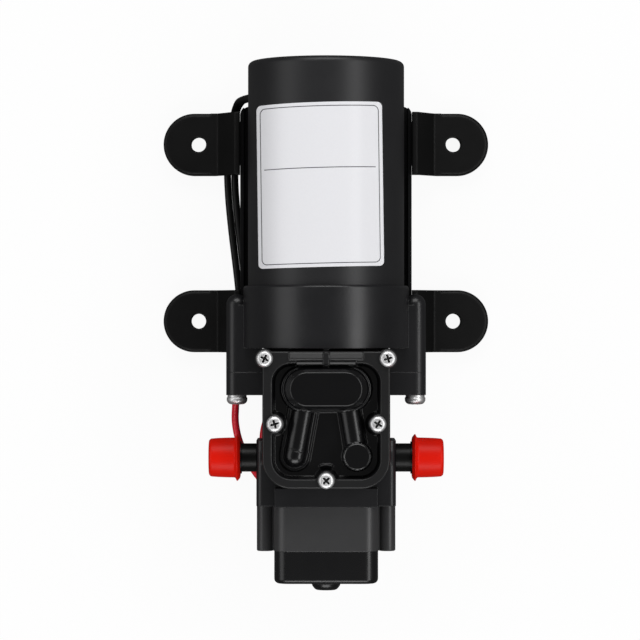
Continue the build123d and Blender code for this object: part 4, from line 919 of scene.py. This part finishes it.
screw = round_rings([
    (-99.0, 0.4), (-99.0, 2.2), (-99.7, 2.9), (end_y, 2.9), (end_y, 4.4), (end_y - 0.15, 4.62),
    (end_y - 0.8, 4.6), (end_y - 1.7, 4.3), (end_y - 2.4, 3.8), (end_y - 2.8, 3.35), (end_y - 2.95, 3.0),
    (end_y - 2.95, 1.8, 6), (end_y - 1.6, 1.8, 6), (end_y - 1.6, 0.4),
])


def switch_piece(name, runs, body, replaced, look):
    mesh = runs_of_rings(name, runs)
    mesh.materials.append(finishes[look])
    dress(add_object(name, mesh), body, replaced)


switch_piece("switch_housing_soft", [housing] + bosses + webs, "housing", "switch_housing", "switch_plastic")
switch_piece("switch_cap_soft", [cap], "housing", "switch_cap", "shaded_cap_plastic")
switch_piece("adjusting_screw_soft", [screw], "adjuster", "adjusting_screw", "shaded_cap_plastic")

# %% [markdown]
# ## The diaphragm in two pieces
# The rubber diaphragm is clamped at its rim while its hub goes up and down with the yoke, by
# one millimetre each way. A rigid disc would be cut by the yoke, so it is split where the real
# one flexes: the rim and the web stay with the housing, and the hub rides the yoke. A blend
# works along a line and not outwards from a centre, so it can't make the web's own curve.

# %% Rim with web, and hub
low_corner, high_corner = (Vector(corner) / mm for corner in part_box("diaphragm"))
disc_low, disc_top, disc_y = low_corner.z, high_corner.z, (low_corner.y + high_corner.y) / 2
disc_r, well_r, web_r, hub_r, bore_r = 12.8, 10.0, 5.5, 4.4, 1.35
web_low, web_top = (disc_low + disc_top) / 2 - 0.4, (disc_low + disc_top) / 2 + 0.4
rim_profile = [
    (disc_r, disc_low), (disc_r, disc_top), (well_r, disc_top), (well_r, web_top),
    (web_r, web_top), (web_r, web_low), (well_r, web_low), (well_r, disc_low),
]
hub_profile = [
    (hub_r, disc_low), (hub_r, web_low), (web_r - 0.1, web_low), (web_r - 0.1, web_top),
    (hub_r, web_top), (hub_r, disc_top), (bore_r, disc_top), (bore_r, disc_low),
]
for name, profile, body in (
    ("diaphragm_rim", rim_profile, "housing"), ("diaphragm_hub", hub_profile, "yoke"),
):
    mesh = turned(profile, 96, name)
    mesh.transform(Matrix.Translation((0, disc_y * mm, 0)))
    mesh.set_sharp_from_angle(angle=math.radians(32))
    mesh.materials.append(finishes["seal_rubber"])
    dress(add_object(name, mesh), body, "diaphragm")

# %% [markdown]
# ## Floor, light and camera
# The photo is a studio shot from straight above on white. Two tall soft boxes, left and right,
# draw the long highlights on the can; two more above and below light the flat faces without
# showing in them. The floor is white to the camera but still takes the shadow, and it is clear
# from below, so that the underside can be looked at.

# %% Floor
def floor_finish():
    made = Finish("floor_white", roughness=0.9, specular=0.1)
    seen = made.node("ShaderNodeLightPath", {}, {}, "Is Camera Ray")
    gloss, through = (
        Value(made, seen.socket.node.outputs[kind]) for kind in ("Is Glossy Ray", "Is Transmission Ray")
    )
    made.feed("Base Color", made.blend(seen, (0.08, 0.08, 0.08), (0.97, 0.97, 0.97)))
    glow = made.node("ShaderNodeEmission", {}, {"Strength": 1.0})
    lit = Value(made, made.shader.outputs[0])
    share = seen * 0.93 + gloss * 0.02 + through * 0.9
    above = made.node("ShaderNodeMixShader", {}, {0: share, 1: lit, 2: glow})
    clear = made.node("ShaderNodeBsdfTransparent", {}, {})
    under = made.node("ShaderNodeNewGeometry", {}, {}, "Backfacing")
    both = made.node("ShaderNodeMixShader", {}, {0: under, 1: above, 2: clear})
    made.tree.links.new(both.socket, made.tree.nodes["Material Output"].inputs[0])
    return made.material


floor_half, floor_drop = 1.6, 0.0003
floor_mesh = bpy.data.meshes.new("floor")
floor_corners = [
    (x * floor_half, y * floor_half, -floor_drop) for x, y in ((-1, -1), (1, -1), (1, 1), (-1, 1))
]
floor_mesh.from_pydata(floor_corners, [], [(0, 1, 2, 3)])
floor_mesh.materials.append(floor_finish())
add_object("floor", floor_mesh)


# %% Soft boxes
target, lamp_away = Vector((0, -0.03, 0.03)), 0.8


def soft_box(name, side_deg, along_deg, width, length, radiance):
    """An area lamp aimed at the pump, tipped by two angles from overhead; its face has this radiance."""
    lamp = bpy.data.lights.new(name, "AREA")
    lamp.shape = "RECTANGLE"
    lamp.size = width
    lamp.size_y = length
    lamp.energy = radiance * math.pi * width * length
    made = add_object(name, lamp)
    across, along = math.radians(side_deg), math.radians(along_deg)
    direction = Vector((
        math.sin(across) * math.cos(along), math.sin(along), math.cos(across) * math.cos(along)
    ))
    made.location = target + direction * lamp_away
    width_axis = Vector((0, 1, 0)).cross(direction).normalized()
    length_axis = direction.cross(width_axis)
    made.rotation_euler = Matrix((width_axis, length_axis, direction)).transposed().to_euler()


soft_box("right_box", 43, 0, 0.24, 0.9, 3.6)
soft_box("left_box", -56, 0, 0.44, 0.9, 1.2)
soft_box("top_box", 0, 54, 0.7, 0.36, 3.8)
soft_box("low_box", 0, -54, 0.7, 0.36, 3.6)

world = bpy.data.worlds.new("studio")
world.use_nodes = True
bpy.context.scene.world = world
world_nodes, world_links = world.node_tree.nodes, world.node_tree.links
room = world_nodes["Background"]
room.inputs["Color"].default_value = (1, 1, 1, 1)
room.inputs["Strength"].default_value = 0.12
backdrop = world_nodes.new("ShaderNodeBackground")
backdrop.inputs["Color"].default_value = (1, 1, 1, 1)
backdrop.inputs["Strength"].default_value = 0.97
path = world_nodes.new("ShaderNodeLightPath")
choice = world_nodes.new("ShaderNodeMixShader")
world_links.new(path.outputs["Is Camera Ray"], choice.inputs[0])
world_links.new(room.outputs[0], choice.inputs[1])
world_links.new(backdrop.outputs[0], choice.inputs[2])
world_links.new(choice.outputs[0], world_nodes["World Output"].inputs[0])

# %% Camera
camera_height, seen_width = 900, 200.6
eye = bpy.data.cameras.new("camera")
eye.sensor_width = 36
eye.lens = eye.sensor_width * camera_height / seen_width
eye.clip_start, eye.clip_end = 0.05, 20
camera = add_object("camera", eye)
camera.location = (-1.9 * mm, -28.1 * mm, (camera_height + motor_axis_z) * mm)
bpy.context.scene.camera = camera
bpy.context.scene.view_settings.view_transform = "Standard"
print("lens", round(eye.lens, 1), "mm")
